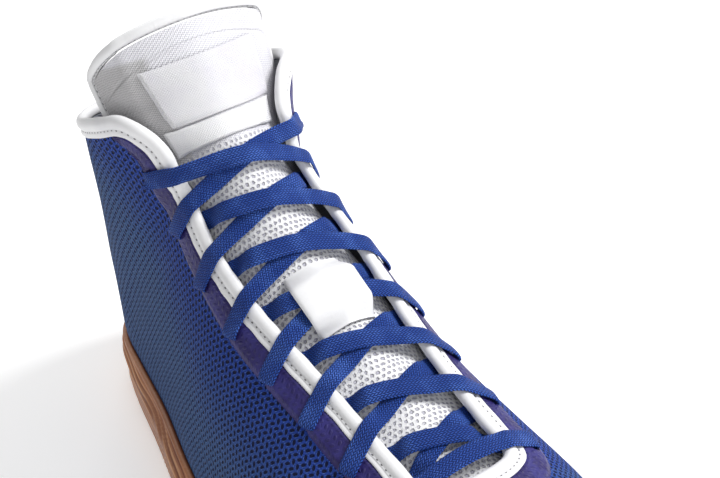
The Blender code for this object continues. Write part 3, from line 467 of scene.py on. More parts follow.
def smooth(keys, steps):
    """A smooth curve through keys with some steps to each, and where on it every point is."""
    padded = np.vstack([2 * keys[0] - keys[1], keys, 2 * keys[-1] - keys[-2]])
    turn = np.linspace(0.0, len(keys) - 1 - 1e-6, steps * len(keys))
    return curve_through(padded, turn), turn


def section_at(row):
    """The section at a row."""
    return curve_through(ROWS, np.clip(np.asarray(row, float), 0.0, LAST_ROW - 1e-9))


def slopes_round(values):
    """Slope of the distances at each knot round a section, level where they turn back."""
    step = np.diff(KNOTS)
    rise = np.diff(values, axis=-1) / step
    before = np.concatenate([rise[..., -1:], rise], axis=-1)
    after = np.concatenate([rise, rise[..., :1]], axis=-1)
    wide = np.concatenate([step[-1:], step])
    narrow = np.concatenate([step, step[:1]])
    weight_a = 2 * narrow + wide
    weight_b = narrow + 2 * wide
    same = before * after > 0
    safe_before = np.where(same, before, 1.0)
    safe_after = np.where(same, after, 1.0)
    mean = (weight_a + weight_b) / (weight_a / safe_before + weight_b / safe_after)
    return np.where(same, mean, 0.0)


def distance_round(values, angle):
    """The distance from the axis at an angle, on a smooth closed curve through the knots."""
    slope = slopes_round(values)
    index = np.clip(np.searchsorted(KNOTS, angle, side="right") - 1, 0, len(KNOTS) - 2)
    step = KNOTS[index + 1] - KNOTS[index]
    part = (angle - KNOTS[index]) / step

    def pick(table, place):
        return np.take_along_axis(table, place[..., None], -1)[..., 0]

    start, end = pick(values, index), pick(values, index + 1)
    slope_start, slope_end = pick(slope, index), pick(slope, index + 1)
    square, cube = part * part, part**3
    return (
        start * (2 * cube - 3 * square + 1)
        + slope_start * step * (cube - 2 * square + part)
        + end * (3 * square - 2 * cube)
        + slope_end * step * (cube - square)
    )


def last_point(row, angle):
    """Points of the upper's inner skin, for arrays of rows and angles."""
    row, angle = np.broadcast_arrays(np.asarray(row, float), np.asarray(angle, float))
    angle = (angle + 180.0) % 360.0 - 180.0
    section = section_at(row)
    down = (1 - np.cos(np.radians(angle))) / 2
    x = section[..., 0] + (section[..., 2] - section[..., 0]) * down
    z = section[..., 1] + (section[..., 3] - section[..., 1]) * down
    y = distance_round(section[..., 4:], angle)
    return np.stack([x, y, z], -1)


def slopes_at(row, angle):
    """How a point moves with the row and with the angle."""
    row = np.clip(np.asarray(row, float), 0.03, LAST_ROW - 0.03)
    by_row = (last_point(row + 0.02, angle) - last_point(row - 0.02, angle)) / 0.04
    by_angle = (last_point(row, angle + 1.0) - last_point(row, angle - 1.0)) / 2.0
    return by_row, by_angle


def normal_at(row, angle):
    """The direction straight out of the skin."""
    row, angle = np.broadcast_arrays(np.asarray(row, float), np.asarray(angle, float))
    by_row, by_angle = slopes_at(row, angle)
    return unit(np.cross(by_angle, by_row))


def skin(row, angle, offset):
    """A point at an offset from the inner skin, outwards where positive."""
    return last_point(row, angle) + normal_at(row, angle) * np.asarray(offset, float)[..., None]


def arc_lengths(points):
    """How far along a line each of its points lies."""
    steps = np.linalg.norm(np.diff(points, axis=0), axis=-1)
    return np.concatenate([[0.0], np.cumsum(steps)])


RIDGE_ROWS = np.linspace(0.0, LAST_ROW, 40 * LAST_ROW + 1)
RIDGE_LENGTHS = arc_lengths(last_point(RIDGE_ROWS, 0.0))
THROAT_ROW = float(np.interp(-THROAT_START * LAST_LENGTH, -last_point(RIDGE_ROWS, 0.0)[:, 0], RIDGE_ROWS))
THROAT_AT = float(np.interp(THROAT_ROW, RIDGE_ROWS, RIDGE_LENGTHS))
THROAT_LENGTH = float(np.interp(COLLAR, RIDGE_ROWS, RIDGE_LENGTHS)) - THROAT_AT


def row_along(distance):
    """The row at a distance along the ridge from the start of the throat towards the collar."""
    return np.interp(THROAT_AT + np.asarray(distance, float), RIDGE_LENGTHS, RIDGE_ROWS)


def along_row(row):
    """The distance along the ridge from the start of the throat to a row."""
    return np.interp(row, RIDGE_ROWS, RIDGE_LENGTHS) - THROAT_AT


GIRTH_ANGLES = np.linspace(0.0, 150.0, 76)


def angles_at(rows, girths):
    """Angles at girths from the ridge, for rows of stations and a grid of girths."""
    found = np.empty(girths.shape)
    for place, row in enumerate(rows):
        for side in (-1.0, 1.0):
            there = girths[place] * side >= 0
            if there.any():
                lengths = arc_lengths(last_point(row, side * GIRTH_ANGLES))
                found[place, there] = side * np.interp(np.abs(girths[place, there]), lengths, GIRTH_ANGLES)
    return found


def angles_along(rows, girths):
    """Angles for one girth a row."""
    return angles_at(rows, girths[:, None])[:, 0]


def girth_at_angle(row, angle):
    """The distance round the section from the ridge to an angle, for one row."""
    side = -1.0 if angle < 0 else 1.0
    lengths = arc_lengths(last_point(row, side * GIRTH_ANGLES))
    return side * float(np.interp(abs(angle), GIRTH_ANGLES, lengths))


def throat_half(distance):
    """Half the width of the upper's throat, along the skin, at a distance from its start."""
    shares, halves = np.array(THROAT_HALF).T
    half = np.interp(distance / THROAT_LENGTH, shares, halves) * BALL_WIDTH
    start = np.clip(1.0 - distance / THROAT_ROUND, 0.0, 1.0)
    half = half * (1.0 - start**2.4) ** (1 / 2.4)
    end = np.clip((distance - THROAT_LENGTH + COLLAR_ROUND) / COLLAR_ROUND, 0.0, 1.0)
    return half + COLLAR_ROUND * (1.0 - np.sqrt(1.0 - end**2))


def throat_stations(rows, turns, apart):
    """Distances along the throat at rows of its middle, closer together where its edge turns."""
    turn = np.linspace(0.0, math.pi / 2, turns)
    start = THROAT_ROUND * (1.0 - np.cos(turn))
    end = THROAT_LENGTH - COLLAR_ROUND + COLLAR_ROUND * np.sin(turn)
    middle = along_row(rows)
    return np.concatenate([start, middle[(middle > start[-1] + apart) & (middle < end[0] - apart)], end])


def feather_angle(row, rise):
    """The angle where the skin is at a height over the floor of the sole."""
    section = section_at(row)
    ridge, base = section[..., 1], section[..., 3]
    level = floor_height(section[..., 2]) + rise
    down = np.clip((ridge - level) / np.maximum(ridge - base, 1e-6), 0.0, 1.0)
    return np.degrees(np.arccos(1 - 2 * down))


def walk(row, angle, away, distance):
    """Moves along the skin by a distance, at right angles to an edge whose direction is given."""
    steps = 4
    for _ in range(steps):
        by_row, by_angle = slopes_at(row, angle)
        normal = unit(np.cross(by_angle, by_row))
        heading = unit(away - normal * dot(away, normal)[..., None])
        aa, ab, bb = dot(by_row, by_row), dot(by_row, by_angle), dot(by_angle, by_angle)
        ra, rb = dot(by_row, heading), dot(by_angle, heading)
        det = aa * bb - ab * ab
        row = row + (ra * bb - rb * ab) / det * distance / steps
        angle = angle + (aa * rb - ab * ra) / det * distance / steps
    return row, angle


def edge_away(rows, angles, closed=True):
    """At each point of an edge, the direction along the skin away from the opening."""
    points = last_point(rows, angles)
    if closed:
        tangent = np.roll(points, -1, axis=0) - np.roll(points, 1, axis=0)
    else:
        tangent = np.gradient(points, axis=0)
    return unit(np.cross(normal_at(rows, angles), tangent))


def outline(rise, out, level=None, count=170):
    """A closed ring round the shoe where the skin is at a height over the sole's floor.

    The ring runs from the toe along the outer side to the heel and back along the inner side.
    Rise is a height or a function of the distance from the heel. Level moves the ring to a height.
    """
    def height(row):
        return rise(section_at(row)[..., 2]) if callable(rise) else rise

    def over_base(row):
        section = section_at(row)
        return section[..., 3] - floor_height(section[..., 2]) - height(row)

    def over_ridge(row):
        section = section_at(row)
        return section[..., 1] - floor_height(section[..., 2]) - height(row)

    toe = np.linspace(0.0, 3.0, 301)
    if over_base(0.0) > 0:
        first = float(toe[np.argmax(over_base(toe) <= 0)])
    else:
        first = float(toe[np.argmax(over_ridge(toe) > 0)])
    heel = np.linspace(len(FOOT) + 1.0, COLLAR, 801)
    last = float(heel[np.argmax(over_base(heel) > 0)])
    share = (1.0 - np.cos(np.linspace(0.0, math.pi, 361))) / 2
    rows = first + (last - first) * share
    angles = feather_angle(rows, height(rows))
    angles[0] = round(angles[0] / 180.0) * 180.0
    angles[-1] = 180.0
    sides = []
    for side in (-1.0, 1.0):
        points = skin(rows, side * angles, np.full(len(rows), out))
        lengths = arc_lengths(points)
        turn = np.linspace(0.0, 1.0, count + 1)
        even = lengths[-1] * (0.45 * turn + 0.55 * (1.0 - np.cos(math.pi * turn)) / 2)
        sides.append(np.stack([np.interp(even, lengths, points[:, k]) for k in range(3)], -1))
    middle_toe = (sides[0][:1] + sides[1][:1]) / 2
    middle_heel = (sides[0][-1:] + sides[1][-1:]) / 2
    ring = np.concatenate([middle_toe, sides[0][1:-1], middle_heel, sides[1][-2:0:-1]])
    if level is not None:
        ring[:, 2] = level(ring[:, 0])
    return ring


def side_share(column):
    """A column of SOLE_SIDE as a function of the distance from the heel."""
    places = [row[0] * LAST_LENGTH for row in SOLE_SIDE]
    shares = [row[column] for row in SOLE_SIDE]
    return lambda x: np.interp(x, places, shares)


def eyelet_places():
    """Row and angle of each eyelet on each side, counted from the collar down."""
    heel = len(FOOT) + len(HEEL)
    coarse = np.concatenate([np.arange(FIRST_ROW, heel, 0.5), np.arange(heel, COLLAR, 1.0)])
    along = throat_stations(coarse, 6, APART)
    rows = row_along(along)
    places = {}
    for side, name in ((-1.0, "outer"), (1.0, "inner")):
        angles = angles_along(rows, side * throat_half(along))
        away = edge_away(rows, angles, closed=False) * -side
        line_rows, line_angles = walk(rows, angles, away, EYELET_INSET)
        lengths = arc_lengths(last_point(line_rows, line_angles))
        first = np.interp(EYELET_START, along, lengths)
        at = first + EYELET_SPAN * THROAT_LENGTH * np.linspace(1.0, 0.0, EYELETS)
        eyelet_rows = np.interp(at, lengths, line_rows)
        eyelet_angles = np.interp(at, lengths, line_angles)
        places[name] = list(zip(eyelet_rows, eyelet_angles))
    return places


def tongue_cover(along, girth):
    """Offset of the tongue's outer face: crowned between the edges of the throat, tucked in beyond."""
    open_half = throat_half(np.clip(along, 0.0, THROAT_LENGTH - COLLAR_ROUND))
    room = np.maximum(open_half - ROLL_WIDTH - GAP, GAP)
    side = np.clip(np.abs(girth) / room, 0.0, 1.0)
    start = 1.0 - ease((along - 1.5 * ROLL_WIDTH) / THROAT_ROUND)
    return -TONGUE_DEPTH - TONGUE_DROP * np.maximum(side, start)


def tongue_half(along):
    """Half the tongue's width, along the skin, at a distance from the throat's start."""
    shares, halves = np.array(TONGUE_HALF).T
    return np.interp(along / THROAT_LENGTH, shares, halves) * BALL_WIDTH


def tongue_grid(across, up):
    """Rows and girths of the tongue for arrays of shares across, -1 to 1, and up, 0 to 1."""
    top = THROAT_LENGTH + TONGUE_HEIGHT * (1.0 - 0.42 * np.abs(across) ** 2.2)
    along = -TONGUE_TUCK + (top + TONGUE_TUCK) * up
    return along, tongue_half(along) * across


def tongue_thickness(along, across, up):
    """Thin below, thick where it is padded, and thin again towards its edges."""
    pad = ease((along - THROAT_LENGTH + PAD_START) / PAD_RAMP)
    thick = TONGUE_THICK + (TONGUE_PAD - TONGUE_THICK) * pad
    edge = ease((1.0 - np.abs(across)) / 0.22)
    top = ease((1.0 - up) / 0.08)
    return TONGUE_EDGE + (thick - TONGUE_EDGE) * np.minimum(edge, top)


def spline(keys, count):
    """Points on a smooth curve through keys, spread evenly along it. Keys may carry more columns."""
    curve, _ = smooth(keys, 12)
    lengths = arc_lengths(curve[:, :3])
    even = np.linspace(0.0, lengths[-1], count)
    return np.stack([np.interp(even, lengths, curve[:, k]) for k in range(keys.shape[1])], -1), even


# Making of pieces.


def make_grid(name, points, maps, materials, around=False, along=False, flip=False):
    """A mesh over a grid of points, closed around or along. The maps are UV coordinates in mm."""
    rows, cols = points.shape[:2]
    i = np.arange(rows if along else rows - 1)[:, None]
    j = np.arange(cols if around else cols - 1)[None, :]
    i, j = np.broadcast_arrays(i, j)
    steps = ((0, 0), (0, 1), (1, 1), (1, 0))
    if flip:
        steps = steps[::-1]
    quads = np.stack([((i + a) % rows) * cols + (j + b) % cols for a, b in steps], -1).reshape(-1, 4)
    mesh = bpy.data.meshes.new(name)
    mesh.from_pydata((points.reshape(-1, 3) + SHIFT).tolist(), [], quads.tolist())
    for title, values in maps.items():
        if around and values.shape[1] == cols:
            values = np.concatenate([values, values[:, :1]], axis=1)
        layer = mesh.uv_layers.new(name=title)
        corners = np.stack([values[i + a, j + b] for a, b in steps], 2)
        layer.data.foreach_set("uv", corners.reshape(-1))
    mesh.shade_smooth()
    for material in materials:
        mesh.materials.append(material)
    item = bpy.data.objects.new(name, mesh)
    bpy.context.scene.collection.objects.link(item)
    return item


def add_piece(item, slot, *nodes):
    """Puts a piece on the shoe's body in place of its solids; the slot is not used."""
    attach(item, "root")
    if nodes:
        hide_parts(*nodes)
    return item


# Paint: a small arithmetic over shader nodes.


class Signal:
    """A number socket that takes part in arithmetic."""

    def __init__(self, paint, socket):
        self.paint = paint
        self.socket = socket

    def __add__(self, other):
        return self.paint.math("ADD", self, other)

    def __sub__(self, other):
        return self.paint.math("SUBTRACT", self, other)

    def __mul__(self, other):
        return self.paint.math("MULTIPLY", self, other)

    def __truediv__(self, other):
        return self.paint.math("DIVIDE", self, other)

    __radd__ = __add__
    __rmul__ = __mul__

    def flipped(self):
        return self.paint.math("SUBTRACT", 1.0, self)

    def floor(self):
        return self.paint.math("FLOOR", self)

    def fraction(self):
        return self.paint.math("FRACT", self)

    def size(self):
        return self.paint.math("ABSOLUTE", self)

    def wave(self):
        """The sine of as many half turns."""
        return self.paint.math("SINE", self * 3.1416)

    def root(self):
        return self.paint.math("POWER", self, 0.5)

    def ramp(self, low, high, start=0.0, end=1.0):
        """Start below low, end above high and smooth between."""
        node = self.paint.node("ShaderNodeMapRange")
        node.interpolation_type = "SMOOTHSTEP"
        self.paint.feed(node.inputs["Value"], self)
        for title, value in (("From Min", low), ("From Max", high), ("To Min", start), ("To Max", end)):
            node.inputs[title].default_value = value
        return Signal(self.paint, node.outputs["Result"])

    def fall(self, low, high):
        return self.ramp(low, high, 1.0, 0.0)


class Paint:
    """One material with its Principled shader."""

    def __init__(self, name, color, roughness, **values):
        self.material = bpy.data.materials.new(name)
        self.material.use_nodes = True
        self.tree = self.material.node_tree
        self.shader = self.tree.nodes["Principled BSDF"]
        self.shader.inputs["Base Color"].default_value = (*color, 1.0)
        self.shader.inputs["Roughness"].default_value = roughness
        for title, value in values.items():
            self.shader.inputs[title.replace("_", " ")].default_value = value
        self.material.diffuse_color = (*color, 1.0)

    def node(self, kind):
        return self.tree.nodes.new(kind)

    def feed(self, socket, value):
        if isinstance(value, Signal):
            self.tree.links.new(value.socket, socket)
        else:
            socket.default_value = value

    def math(self, operation, first, second=None):
        node = self.node("ShaderNodeMath")
        node.operation = operation
        self.feed(node.inputs[0], first)
        if second is not None:
            self.feed(node.inputs[1], second)
        return Signal(self, node.outputs[0])

    def place(self, title):
        """The two coordinates of a UV map, in millimetres."""
        source = self.node("ShaderNodeUVMap")
        source.uv_map = title
        split = self.node("ShaderNodeSeparateXYZ")
        self.tree.links.new(source.outputs[0], split.inputs[0])
        return Signal(self, split.outputs[0]), Signal(self, split.outputs[1])

    def noise(self, scale, detail=2.0, roughness=0.5):
        """Noise in the shoe's own space, with scale in bumps a metre."""
        space = self.node("ShaderNodeTexCoord")
        node = self.node("ShaderNodeTexNoise")
        self.tree.links.new(space.outputs["Object"], node.inputs["Vector"])
        node.inputs["Scale"].default_value = scale
        node.inputs["Detail"].default_value = detail
        node.inputs["Roughness"].default_value = roughness
        return Signal(self, node.outputs[0])

    def blend(self, share, low, high):
        """A mix of two colours."""
        node = self.node("ShaderNodeMix")
        node.data_type = "RGBA"
        self.feed(node.inputs[0], share)
        for socket, color in ((node.inputs[6], low), (node.inputs[7], high)):
            if isinstance(color, Signal):
                self.tree.links.new(color.socket, socket)
            else:
                socket.default_value = (*color, 1.0)
        return Signal(self, node.outputs[2])

    def finish(self, color, roughness=None, height=None, depth=0.0):
        """Links the colour, the roughness, and a height from 0 to 1 over a depth in metres."""
        self.feed(self.shader.inputs["Base Color"], color)
        if roughness is not None:
            self.feed(self.shader.inputs["Roughness"], roughness)
        if height is not None:
            node = self.node("ShaderNodeBump")
            node.inputs["Distance"].default_value = depth
            self.feed(node.inputs["Height"], height)
            self.tree.links.new(node.outputs[0], self.shader.inputs["Normal"])
        return self.material


# Materials.


def knit_holes(u, v, shrink):
    """Open knit in zigzag rows: how far a place is inside a hole, and the round of the yarn beside it."""
    line = v / KNIT_HIGH
    odd = (line.floor() * 0.5).fraction() * 2.0
    down = line.fraction() - 0.5
    lean = (odd - 0.5) * 0.8
    over = (u / KNIT_WIDE + odd * 0.5 + lean * down).fraction() - 0.5
    far = (over * over * 9.0 + down * down * 4.6).root() + shrink
    hole = far.fall(0.45, 1.10)
    loop = ((over.size() - 0.30) * 9.0).size().fall(0.0, 1.0) * down.ramp(-0.5, 0.35)
    return hole, loop


def paint_mesh():
    """Blue knit: open holes by the throat, closer towards the sole and the heel and greyer there with painted
    sheen; painted highlights on the yarn and painted shade in the holes.
    """
    paint = Paint("mesh_blue", ROYAL_BLUE, 0.80, Specular_IOR_Level=0.18)
    edge, rise = paint.place("place")
    u, v = paint.place("knit")
    u = u + (paint.noise(90.0) - 0.5) * 0.8
    v = v + (paint.noise(70.0) - 0.5) * 0.8
    near = edge.fall(10.0, 52.0)
    low = rise.fall(4.0, 24.0)
    hole, loop = knit_holes(u, v, near.flipped() * 0.06 + low * 0.12)
    open_share = near * 0.10 + 0.90
    film = edge.fall(7.5, 12.5)
    patchy = paint.noise(420.0, 3.0)
    film = (film + (patchy - 0.5) * 1.3 * film * film.flipped() * 4.0).ramp(0.35, 0.65)
    deep = hole * open_share * (film * 0.75).flipped()
    fibre = paint.noise(2600.0, 2.0)
    # The greyer steel blue away from the throat and towards the sole is painted sheen.
    base = paint.blend(near, SHEEN_STEEL_BLUE, ROYAL_BLUE)
    base = paint.blend(low * 0.7, base, SHEEN_SOLE_BLUE)
    # Painted highlight on the yarn's loops beside the holes.
    base = paint.blend((loop * fibre * 1.8).ramp(0.2, 0.9) * 0.75, base, YARN_HIGHLIGHT)
    # Painted shade in the open holes of the knit.
    base = paint.blend(deep.ramp(0.05, 0.85), base, HOLE_SHADE)
    base = paint.blend(film, base, FILM_COLOR)
    twist = ((v + u * 0.4) / 0.40).wave() * 0.05
    relief = deep.flipped() * 0.70 + loop * 0.16 * (film * 0.7).flipped() + fibre * 0.07 + twist
    return paint.finish(base, film * -0.25 + 0.80, relief, 0.0012)


def paint_film():
    """Dark fused film with the knit just showing through it and painted shade in the knit's holes."""
    paint = Paint("eyestay_indigo", FILM_COLOR, 0.50, Specular_IOR_Level=0.35)
    u, v = paint.place("knit")
    hole, loop = knit_holes(u, v, 0.15)
    tone = paint.noise(160.0, 3.0)
    tint = paint.blend(tone.ramp(0.35, 0.7), FILM_COLOR, FILM_LIGHT)
    relief = hole.flipped() * 0.55 + loop * 0.2 + paint.noise(2200.0) * 0.10
    # Painted shade in the knit's holes under the film.
    return paint.finish(paint.blend(hole * 0.22, tint, FILM_HOLE_SHADE), tone * 0.2 + 0.40, relief, 0.00030)


def paint_lining():
    paint = Paint("lining_grey", (0.20, 0.21, 0.25), 0.92, Sheen_Weight=0.1)
    u, v = paint.place("knit")
    rib = (u / 0.45).wave() * (v / 0.45).wave()
    cloth = paint.blend(rib.ramp(-0.4, 0.6), LINING_DARK, LINING_LIGHT)
    return paint.finish(cloth, height=rib * 0.5 + paint.noise(900.0) * 0.4, depth=0.0004)


def dashes(paint, along, across, line, length, gap, half):
    """A row of stitches beside a line, as a share from 0 to 1."""
    turn = (along / (length + gap)).fraction() * (length + gap)
    dash = turn.ramp(0.0, 0.12) * turn.fall(length, length + 0.12)
    beside = (across - line).size()
    return dash * beside.fall(half * 0.7, half * 1.3)


def paint_binding(name, line, warm):
    """Smooth white roll with pinholes beside its lip, painted shade in the groove there and fine wrinkles
    across it.
    """
    paint = Paint(name, WHITE, 0.38, Coat_Weight=0.10, Coat_Roughness=0.35, Subsurface_Weight=0.0)
    along, across = paint.place("seam")
    pins = dashes(paint, along, across, line, 0.62, 1.45, 0.16)
    groove = (across - line).size().fall(0.1, 0.75)
    folds = paint.noise(240.0, 4.0)
    soil = paint.noise(55.0, 4.0)
    wave = (along / 0.75).wave() * folds.ramp(0.45, 0.75)
    base = paint.blend(soil.ramp(0.4, 0.8) * 0.5, WHITE, warm)
    # Painted shade in the groove beside the lip.
    base = paint.blend(groove * 0.35, base, GROOVE_SHADE)
    base = paint.blend(pins * 0.9, base, STITCH_DARK)
    height = groove.flipped() * 0.5 + pins.flipped() * 0.35 + wave * 0.05 + paint.noise(1500.0, 3.0) * 0.05
    return paint.finish(base, folds * 0.25 + 0.30, height, 0.0006)


def weave_signal(paint, along, across, step):
    """Plain weave: over and under threads by turns, from 0 to 1."""
    u = across / step
    v = along / step
    odd = ((u.floor() + v.floor()) * 0.5).fraction() * 2.0
    return u.fraction().wave() * odd.ramp(0.4, 0.6) + v.fraction().wave() * odd.fall(0.4, 0.6)


def paint_tongue():
    """White tongue: open spacer mesh below with painted shade in its holes, fine grey twill on the padded
    top.
    """
    paint = Paint("tongue_white", (0.72, 0.72, 0.73), 0.80, Specular_IOR_Level=0.35)
    across, along = paint.place("tongue")
    u = across / 2.05 + (paint.noise(160.0) - 0.5) * 1.1
    v = along / 1.75 + (paint.noise(190.0) - 0.5) * 1.1
    odd = (v.floor() * 0.5).fraction() * 2.0
    x = (u + odd * 0.5).fraction() - 0.5
    y = v.fraction() - 0.5
    far = (x * x * 7.0 + y * y * 7.0).root()
    ragged = paint.noise(1500.0, 3.0)
    hole = (far + (ragged - 0.5) * 1.3).fall(0.45, 0.95)
    patch = paint.noise(70.0, 3.0)
    weave = weave_signal(paint, along + across * 0.3, across, 0.62)
    top = along.ramp(-15.5, -13.5)
    side = across.fall(-17.5, -14.0)
    rim = along.ramp(16.5, 18.5)
    twill = paint.blend(weave.ramp(0.2, 0.9), TWILL_DARK, TWILL_LIGHT)
    plain = paint.blend(weave.ramp(0.2, 0.9), PLAIN_DARK, PLAIN_LIGHT)
    upper_cloth = paint.blend(side * rim.flipped(), plain, twill)
    # Painted shade in the spacer mesh's holes, deeper in patches.
    depth = hole.ramp(0.2, 0.9) * patch.ramp(0.3, 0.65, 0.55, 1.0)
    spacer = paint.blend(depth, SPACER_LIGHT, SPACER_HOLE_SHADE)
    low = (hole.flipped() * 0.75 + ragged * 0.25) * top.flipped()
    seam = (along - 18.0 + across * across * 0.0074).size().fall(0.1, 0.9) * 0.4
    relief = low + weave * 0.14 * top - seam * top
    return paint.finish(paint.blend(top, spacer, upper_cloth), height=relief, depth=0.0010)


def paint_label():
    """Fine white weave with a zigzag of stitches along its outer edge."""
    paint = Paint("label_white", (0.78, 0.78, 0.79), 0.55, Sheen_Weight=0.15)
    across, along = paint.place("tongue")
    weave = weave_signal(paint, along, across, 0.46)
    shade = paint.noise(60.0, 2.0)
    cloth = paint.blend(weave.ramp(0.1, 0.9), LABEL_DARK, LABEL_LIGHT)
    cloth = paint.blend(shade.ramp(0.45, 0.75) * 0.35, cloth, LABEL_SHADE)
    saw = ((along / 1.6).fraction() - 0.5).size() * 1.6
    share = (along - LABEL_FROM * MM) / ((LABEL_TO - LABEL_FROM - LABEL_EASE) * MM)
    outer_edge = (share + 0.5) * (-LABEL_EASE * MM) - LABEL_OUTER * MM
    stitch = (across - outer_edge - 0.7 - saw).size().fall(0.12, 0.3)
    cloth = paint.blend(stitch * 0.8, cloth, STITCH_WHITE)
    return paint.finish(cloth, height=weave * 0.4 + stitch * 0.5, depth=0.0003)


def paint_band():
    """Smooth white tape with faint ribs across its ends."""
    paint = Paint("band_white", (0.80, 0.80, 0.81), 0.45)
    across, along = paint.place("tongue")
    weave = weave_signal(paint, along, across, 0.5)
    tint = paint.noise(120.0, 3.0)
    cloth = paint.blend(tint.ramp(0.4, 0.7) * 0.5, BAND_CLOTH, BAND_SHADE)
    cloth = paint.blend(weave.ramp(0.0, 0.8), cloth, BAND_RIB)
    return paint.finish(cloth, height=weave * 0.35 + paint.noise(500.0, 3.0) * 0.4, depth=0.0003)


def paint_lace():
    """Flat tubular braid: columns of slanting picks that lean by turns to either side, with a painted
    highlight on their crowns in patches.
    """
    paint = Paint("lace_blue", LACE_COLOR, 0.62, Specular_IOR_Level=0.22)
    across, along = paint.place("braid")
    column = across / 0.72 + 0.5
    odd = (column.floor() * 0.5).fraction() * 4.0 - 1.0
    part = column.fraction() - 0.5
    turn = (along / 1.15 + part * odd * 0.85 + odd * 0.25).fraction()
    strand = turn.wave() * (part * 3.1416).size().ramp(1.0, 1.55, 1.0, 0.35)
    fibre = paint.noise(3000.0, 2.0)
    highlight_patches = paint.noise(140.0, 3.0)
    base = paint.blend((strand * 0.9 + fibre * 0.25).ramp(0.30, 1.05), LACE_DARK, LACE_COLOR)
    # Painted highlight on the crowns of the picks, in patches.
    base = paint.blend(highlight_patches.ramp(0.40, 0.75) * strand * strand * 0.75, base, LACE_HIGHLIGHT)
    return paint.finish(base, fibre * 0.2 + 0.52, strand * 0.8 + fibre * 0.2, 0.00050)


def paint_gum(name, ribbed):
    """Gum rubber: brown, a little glossy, darker in the folds with painted shade and paler on the ridges with
    a painted highlight.
    """
    paint = Paint(name, GUM, 0.42, Coat_Weight=0.15, Coat_Roughness=0.3)
    cloud = paint.noise(45.0, 4.0)
    speck = paint.noise(700.0, 3.0)
    base = paint.blend(cloud.ramp(0.3, 0.7), GUM_DARK, GUM)
    base = paint.blend(speck.ramp(0.5, 0.85) * 0.35, base, GUM_PALE)
    if ribbed:
        ridge, down = paint.place("rib")
        # Painted highlight on the ribs' ridges and painted shade in their troughs.
        base = paint.blend(ridge.ramp(0.1, 0.9), base, GUM_PALE)
        base = paint.blend(ridge.ramp(-0.9, 0.0, 0.75, 0.0), base, GUM_DEEP)
        base = paint.blend(down.ramp(-0.2, 1.3, 0.9, 0.0), base, GUM_DEEP)
    return paint.finish(base, cloud * 0.25 + 0.32, speck * 0.5 + paint.noise(2400.0) * 0.2, 0.00022)


def paint_foam():
    paint = Paint("insole_grey", (0.12, 0.13, 0.16), 0.95, Sheen_Weight=0.4)
    grain = paint.noise(1400.0, 3.0)
    return paint.finish(paint.blend(grain.ramp(0.3, 0.7), FOAM_DARK, FOAM_LIGHT), height=grain, depth=0.0005)


def paint_floor():
    paint = Paint("floor_white", (0.93, 0.93, 0.93), 0.7, Emission_Strength=0.30)
    paint.shader.inputs["Emission Color"].default_value = (1.0, 1.0, 1.0, 1.0)
    return paint.finish(paint.blend(paint.noise(30.0), *FLOOR_WHITES))


# Shape of the pieces.


FINE_ROWS = np.concatenate([np.arange(FIRST_ROW, len(FOOT), 0.07), np.arange(len(FOOT), COLLAR, 0.1)])
FINE_ALONG = throat_stations(FINE_ROWS, 16, FINE_APART)


def throat_edges(along):
    """Rows along the throat, and the angles of its outer and inner edge there."""
    rows = row_along(along)
    outer, inner = (angles_along(rows, side * throat_half(along)) for side in (-1.0, 1.0))
    return rows, outer, inner


def fine_edge(back_steps=70):
    """Rows and angles of the whole edge: up the outer side, round the collar, down the inner side."""
    rows, outer, inner = throat_edges(FINE_ALONG)
    back = 360.0 + outer[-1] + (inner[-1] - outer[-1] - 360.0) * np.linspace(0.0, 1.0, back_steps)[1:-1]
    edge_rows = np.concatenate([rows, np.full(len(back), float(COLLAR)), rows[:0:-1]])
    return edge_rows, np.concatenate([outer, back, inner[:0:-1]])


def relief_at(points):
    """How far the soft creases of the upper press the skin in, or raise it, in metres."""
    total = np.zeros(points.shape[:-1])
    for _, row, angle, end_row, end_angle, width, depth in CREASES:
        ends = last_point(np.array([row, end_row]), np.array([angle, end_angle]))
        start, line = ends[0], ends[1] - ends[0]
        share = np.clip(np.sum((points - start) * line, axis=-1) / np.sum(line * line), -0.15, 1.15)
        bow = (share - 0.5) ** 2 * 4.0
        near = points - start - share[..., None] * line
        far = np.linalg.norm(near, axis=-1)
        total += depth * np.exp(-((far / width) ** 2)) * np.exp(-(bow**2))
    return total


def upper_half(side):
    """Points of one half of the upper's outer skin, with the distance from the edge and the height."""
    toe = np.concatenate([np.arange(0.0, 2.0, 0.06), np.arange(2.0, THROAT_ROW - 0.03, 0.07)])
    rows = np.concatenate([toe, row_along(FINE_ALONG)])
    halves = np.concatenate([np.zeros(len(toe)), throat_half(FINE_ALONG)])
    start = np.abs(angles_along(rows, side * halves))
    feather = feather_angle(rows, UPPER_SEAT)
    shares = np.linspace(0.0, 1.0, 64) ** 1.12
    angles = side * (start[:, None] + (feather - start)[:, None] * shares)
    grid_rows = np.broadcast_to(rows[:, None], angles.shape)
    points = skin(grid_rows, angles, np.full(angles.shape, WALL))
    steps = np.linalg.norm(np.diff(points, axis=1), axis=-1)
    edge = np.concatenate([np.zeros((len(rows), 1)), np.cumsum(steps, axis=1)], axis=1)
    ahead = np.clip(-along_row(rows), 0.0, None)
    edge = np.sqrt(edge**2 + ahead[:, None] ** 2)
    keep = ease((edge - 0.014) / 0.012)
    points = points + normal_at(grid_rows, angles) * (relief_at(points) * keep)[..., None]
    return points, pair(edge, points[..., 2] - floor_height(points[..., 0])) * MM


def select(items):
    bpy.ops.object.select_all(action="DESELECT")
    for item in items:
        item.select_set(True)
    bpy.context.view_layer.objects.active = items[0]


